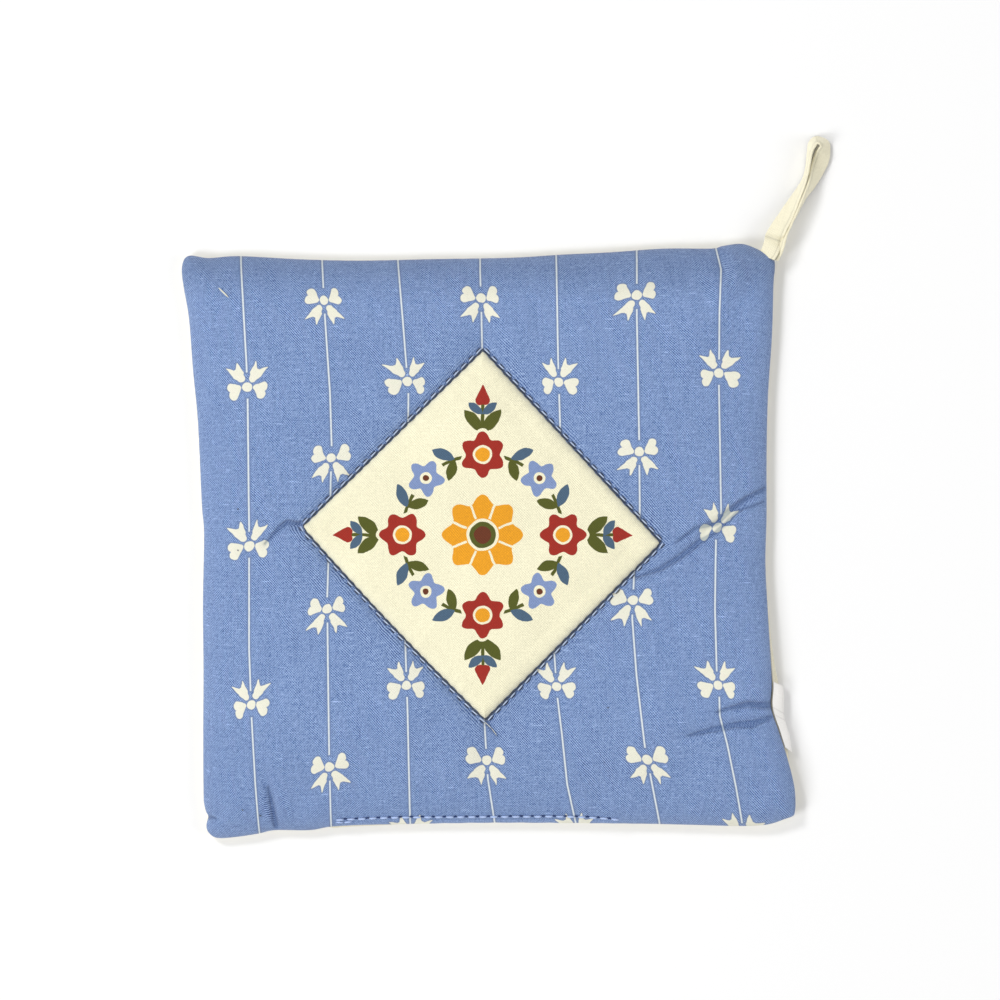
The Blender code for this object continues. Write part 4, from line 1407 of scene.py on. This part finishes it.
class POTHOLDER_OT_quilting(bpy.types.Operator):
    """Sew the quilting round the diamond, on the front and on the back"""

    bl_idname = "potholder.quilting"
    bl_label = "Quilting"

    # The rows of thread on the front. The last, quilting_shade, is a thin dark strand laid outside the
    # stitches
    # as painted shade beside them. Columns: name, share of the pitch, how far outside the line a stitch
    # starts and ends, lift, radius as a share of the thread, whether it is dark.
    ROWS = (
        ("quilting_dark", 1.06, -0.50, -0.22, 0.45, 0.75, True),
        ("quilting_light", 0.72, 0.10, 0.26, 0.72, 0.55, False),
        ("quilting_shade", 0.60, 0.72, 0.72, 0.10, 0.42, True),
    )

    def execute(self, context):
        # Each row's stitches lie on the front's surface, off the diamond's line to the side.
        sizes, colours, outline = settings(context)
        thread, pitch = sizes.thread / MM, sizes.quilt_stitch / MM
        dark = thread_material("dark thread", colours.thread_dark)
        light = thread_material("light thread", colours.thread_light)
        path = diamond_line(DITCH_LINE - 0.1, step=1.0)
        path = np.vstack([path, path[:1]])
        starts, ends = line_of_stitches(path, pitch, self.ROWS[0][1])
        out = np.column_stack([starts[:, 1] - ends[:, 1], ends[:, 0] - starts[:, 0]])
        out /= np.linalg.norm(out, axis=1, keepdims=True)
        up = upwards(starts)
        for name, share, begin, finish, lift, radius, is_dark in self.ROWS:
            starts, ends = line_of_stitches(path, pitch, share)
            placed = [
                on_front(each + out * side, outline) + (0, 0, lift)
                for each, side in ((starts, begin), (ends, finish))
            ]
            stitches(name, *placed, up, thread * radius, dark if is_dark else light)
        above_floor = 0.52
        placed = [
            np.column_stack([each, np.full(len(each), above_floor)])
            for each in line_of_stitches(path, pitch, 0.8)
        ]
        stitches("quilting_under", *placed, -up, thread * 0.6, light)
        return {"FINISHED"}


class POTHOLDER_OT_closing(bpy.types.Operator):
    """Sew the line that closes the bottom edge, with its doubled start"""

    bl_idname = "potholder.closing"
    bl_label = "Closing seam"

    # The closing line, and the short line that doubles its start. Columns: x, y.
    PATH = (
        (-53.4, -97.6), (-44.0, -97.2), (-30.0, -96.7), (0.0, -96.5), (25.0, -96.4), (38.0, -96.8),
        (46.6, -97.6),
    )
    BACKTACK = ((-53.0, -98.3), (-50.0, -98.5), (-47.2, -98.1))
    BACKTACK_PITCH = 2.8

    def execute(self, context):
        sizes, colours, outline = settings(context)
        thread = sizes.thread / MM
        dark = thread_material("closing dark thread", colours.closing_sunk_thread_and_shade, sheen=0.08)
        light = thread_material("closing light thread", colours.closing_light)
        path = smooth_between(self.PATH, 6, closed=False)
        starts, ends = line_of_stitches(path, sizes.closing_stitch / MM, 0.68)
        placed = [on_front(each, outline) + (0, 0, 0.36) for each in (starts, ends)]
        stitches("closing_light", *placed, upwards(starts), thread * 0.85, light)
        # A dark stitch fills each gap between two pale ones: the thread sunk in the needle hole and, as
        # painted shade, the shade in it.
        half = 0.5 * (starts[1:] - ends[:-1])
        middle = 0.5 * (starts[1:] + ends[:-1])
        placed = [on_front(middle + half * side, outline) + (0, 0.25, 0.18) for side in (-1.0, 1.0)]
        stitches("closing_sunk_thread_and_shade", *placed, upwards(middle), thread * 0.75, dark)
        tack = smooth_between(self.BACKTACK, 4, closed=False)
        starts, ends = line_of_stitches(tack, self.BACKTACK_PITCH, 0.9)
        placed = [on_front(each, outline) + (0, 0, 0.25) for each in (starts, ends)]
        stitches("closing_backtack", *placed, upwards(starts), thread * 0.80, light)
        return {"FINISHED"}


class POTHOLDER_OT_lint(bpy.types.Operator):
    """Lay the loose bits of thread and the dark specks on the front"""

    bl_idname = "potholder.lint"
    bl_label = "Loose threads"

    # Bits of thread. Columns: start x and y, end x and y.
    SNIPPET = ((-93.8, 88.5, -90.3, 85.1),)
    TAIL = ((-1.0, -63.0, 1.6, -65.4), (1.6, -65.4, 3.4, -67.8))
    SPECKS = ((-85.7, -93.7, -85.2, -94.3), (-79.5, -95.7, -79.0, -96.2), (42.0, -58.0, 42.5, -58.2),
              (-87.0, 11.5, -87.0, 10.8), (-87.2, -3.0, -86.8, -3.4))

    def execute(self, context):
        _, colours, outline = settings(context)
        pale = thread_material("lint", colours.print_cream)
        dark = thread_material("dark lint", colours.thread_dark)
        # Columns: name, bits, radius, look.
        for name, bits, radius, look in (
            ("loose_snippet", self.SNIPPET, 0.28, pale),
            ("loose_tail", self.TAIL, 0.11, pale),
            ("loose_specks", self.SPECKS, 0.22, dark),
        ):
            rows = np.array(bits)
            placed = [on_front(rows[:, k:k + 2], outline) + (0, 0, radius * 0.7) for k in (0, 2)]
            stitches(name, *placed, upwards(rows), radius, look)
        return {"FINISHED"}


class POTHOLDER_OT_stage(bpy.types.Operator):
    """Set the floor, the lights, the sky and the camera"""

    bl_idname = "potholder.stage"
    bl_label = "Stage"

    AIM = (0.00455, 0.01435, 0.005)  # what the camera looks straight down at

    def execute(self, context):
        scene = context.scene
        stage, colours = scene.potholder_stage, scene.potholder_colours
        low, high = (np.array(corner) for corner in CAD_BOX)
        middle, size = (low + high) / 2, max(high - low)

        below_pad = 0.0002
        bpy.ops.mesh.primitive_plane_add(size=size * 24, location=(0, 0, -below_pad))
        floor = context.object
        floor.name = "floor"
        paint = bpy.data.materials.new("floor paint")
        paint.use_nodes = True
        shader = paint.node_tree.nodes["Principled BSDF"]
        shader.inputs["Base Color"].default_value = (*colours.floor, 1)
        shader.inputs["Roughness"].default_value = 0.9
        floor.data.materials.append(paint)

        # Columns: name, place, width, power.
        for name, place, width, power in (
            ("key", (-1.55, -0.85, 1.70), 0.9, stage.key_power),
            ("fill", (-1.10, 1.10, 1.60), 0.5, stage.fill_power),
            ("side", (1.60, -0.30, 1.10), 0.9, stage.side_power),
        ):
            data = bpy.data.lights.new(name, "AREA")
            data.size = width
            data.energy = power
            lamp = bpy.data.objects.new(name, data)
            lamp.location = place
            x, y, z = np.array(place) - middle
            lamp.rotation_euler = (math.atan2(math.hypot(x, y), z), 0, math.atan2(x, -y))
            scene.collection.objects.link(lamp)
        world = bpy.data.worlds.new("soft sky")
        world.use_nodes = True
        sky = world.node_tree.nodes["Background"]
        sky.inputs["Color"].default_value = (1, 1, 1, 1)
        sky.inputs["Strength"].default_value = stage.sky
        scene.world = world
        scene.view_settings.view_transform = "Standard"

        data = bpy.data.cameras.new("camera")
        data.lens = 200
        data.sensor_width = 36
        camera = bpy.data.objects.new("camera", data)
        x, y, z = self.AIM
        camera.location = (x, y, z + stage.view_width * data.lens / data.sensor_width)
        scene.collection.objects.link(camera)
        scene.camera = camera
        return {"FINISHED"}


class POTHOLDER_PT_panel(bpy.types.Panel):
    """Lists the pot holder's pieces and settings"""

    bl_label = "Pot Holder"
    bl_idname = "POTHOLDER_PT_panel"
    bl_space_type = "VIEW_3D"
    bl_region_type = "UI"
    bl_category = "Pot Holder"

    def draw(self, context):
        for operator in OPERATORS:
            self.layout.operator(operator.bl_idname)
        for group, kind in GROUPS.items():
            for name in kind.__annotations__:
                self.layout.prop(getattr(context.scene, group), name)


GROUPS = {
    "potholder_sizes": PotHolderSizes,
    "potholder_colours": PotHolderColours,
    "potholder_stage": PotHolderStage,
}
OPERATORS = (
    POTHOLDER_OT_front,
    POTHOLDER_OT_back,
    POTHOLDER_OT_patch,
    POTHOLDER_OT_loop,
    POTHOLDER_OT_label,
    POTHOLDER_OT_quilting,
    POTHOLDER_OT_closing,
    POTHOLDER_OT_lint,
    POTHOLDER_OT_stage,
)


def register():
    """Register the settings, the operators and the panel."""
    for name, group in GROUPS.items():
        bpy.utils.register_class(group)
        setattr(bpy.types.Scene, name, PointerProperty(type=group))
    for kind in (*OPERATORS, POTHOLDER_PT_panel):
        bpy.utils.register_class(kind)


def unregister():
    """Take them away again."""
    for kind in (POTHOLDER_PT_panel, *reversed(OPERATORS)):
        bpy.utils.unregister_class(kind)
    for name, group in GROUPS.items():
        delattr(bpy.types.Scene, name)
        bpy.utils.unregister_class(group)


def main():
    """Build every piece in turn."""
    register()
    for operator in OPERATORS:
        space, name = operator.bl_idname.split(".")
        getattr(getattr(bpy.ops, space), name)()


if __name__ == "__main__":
    main()
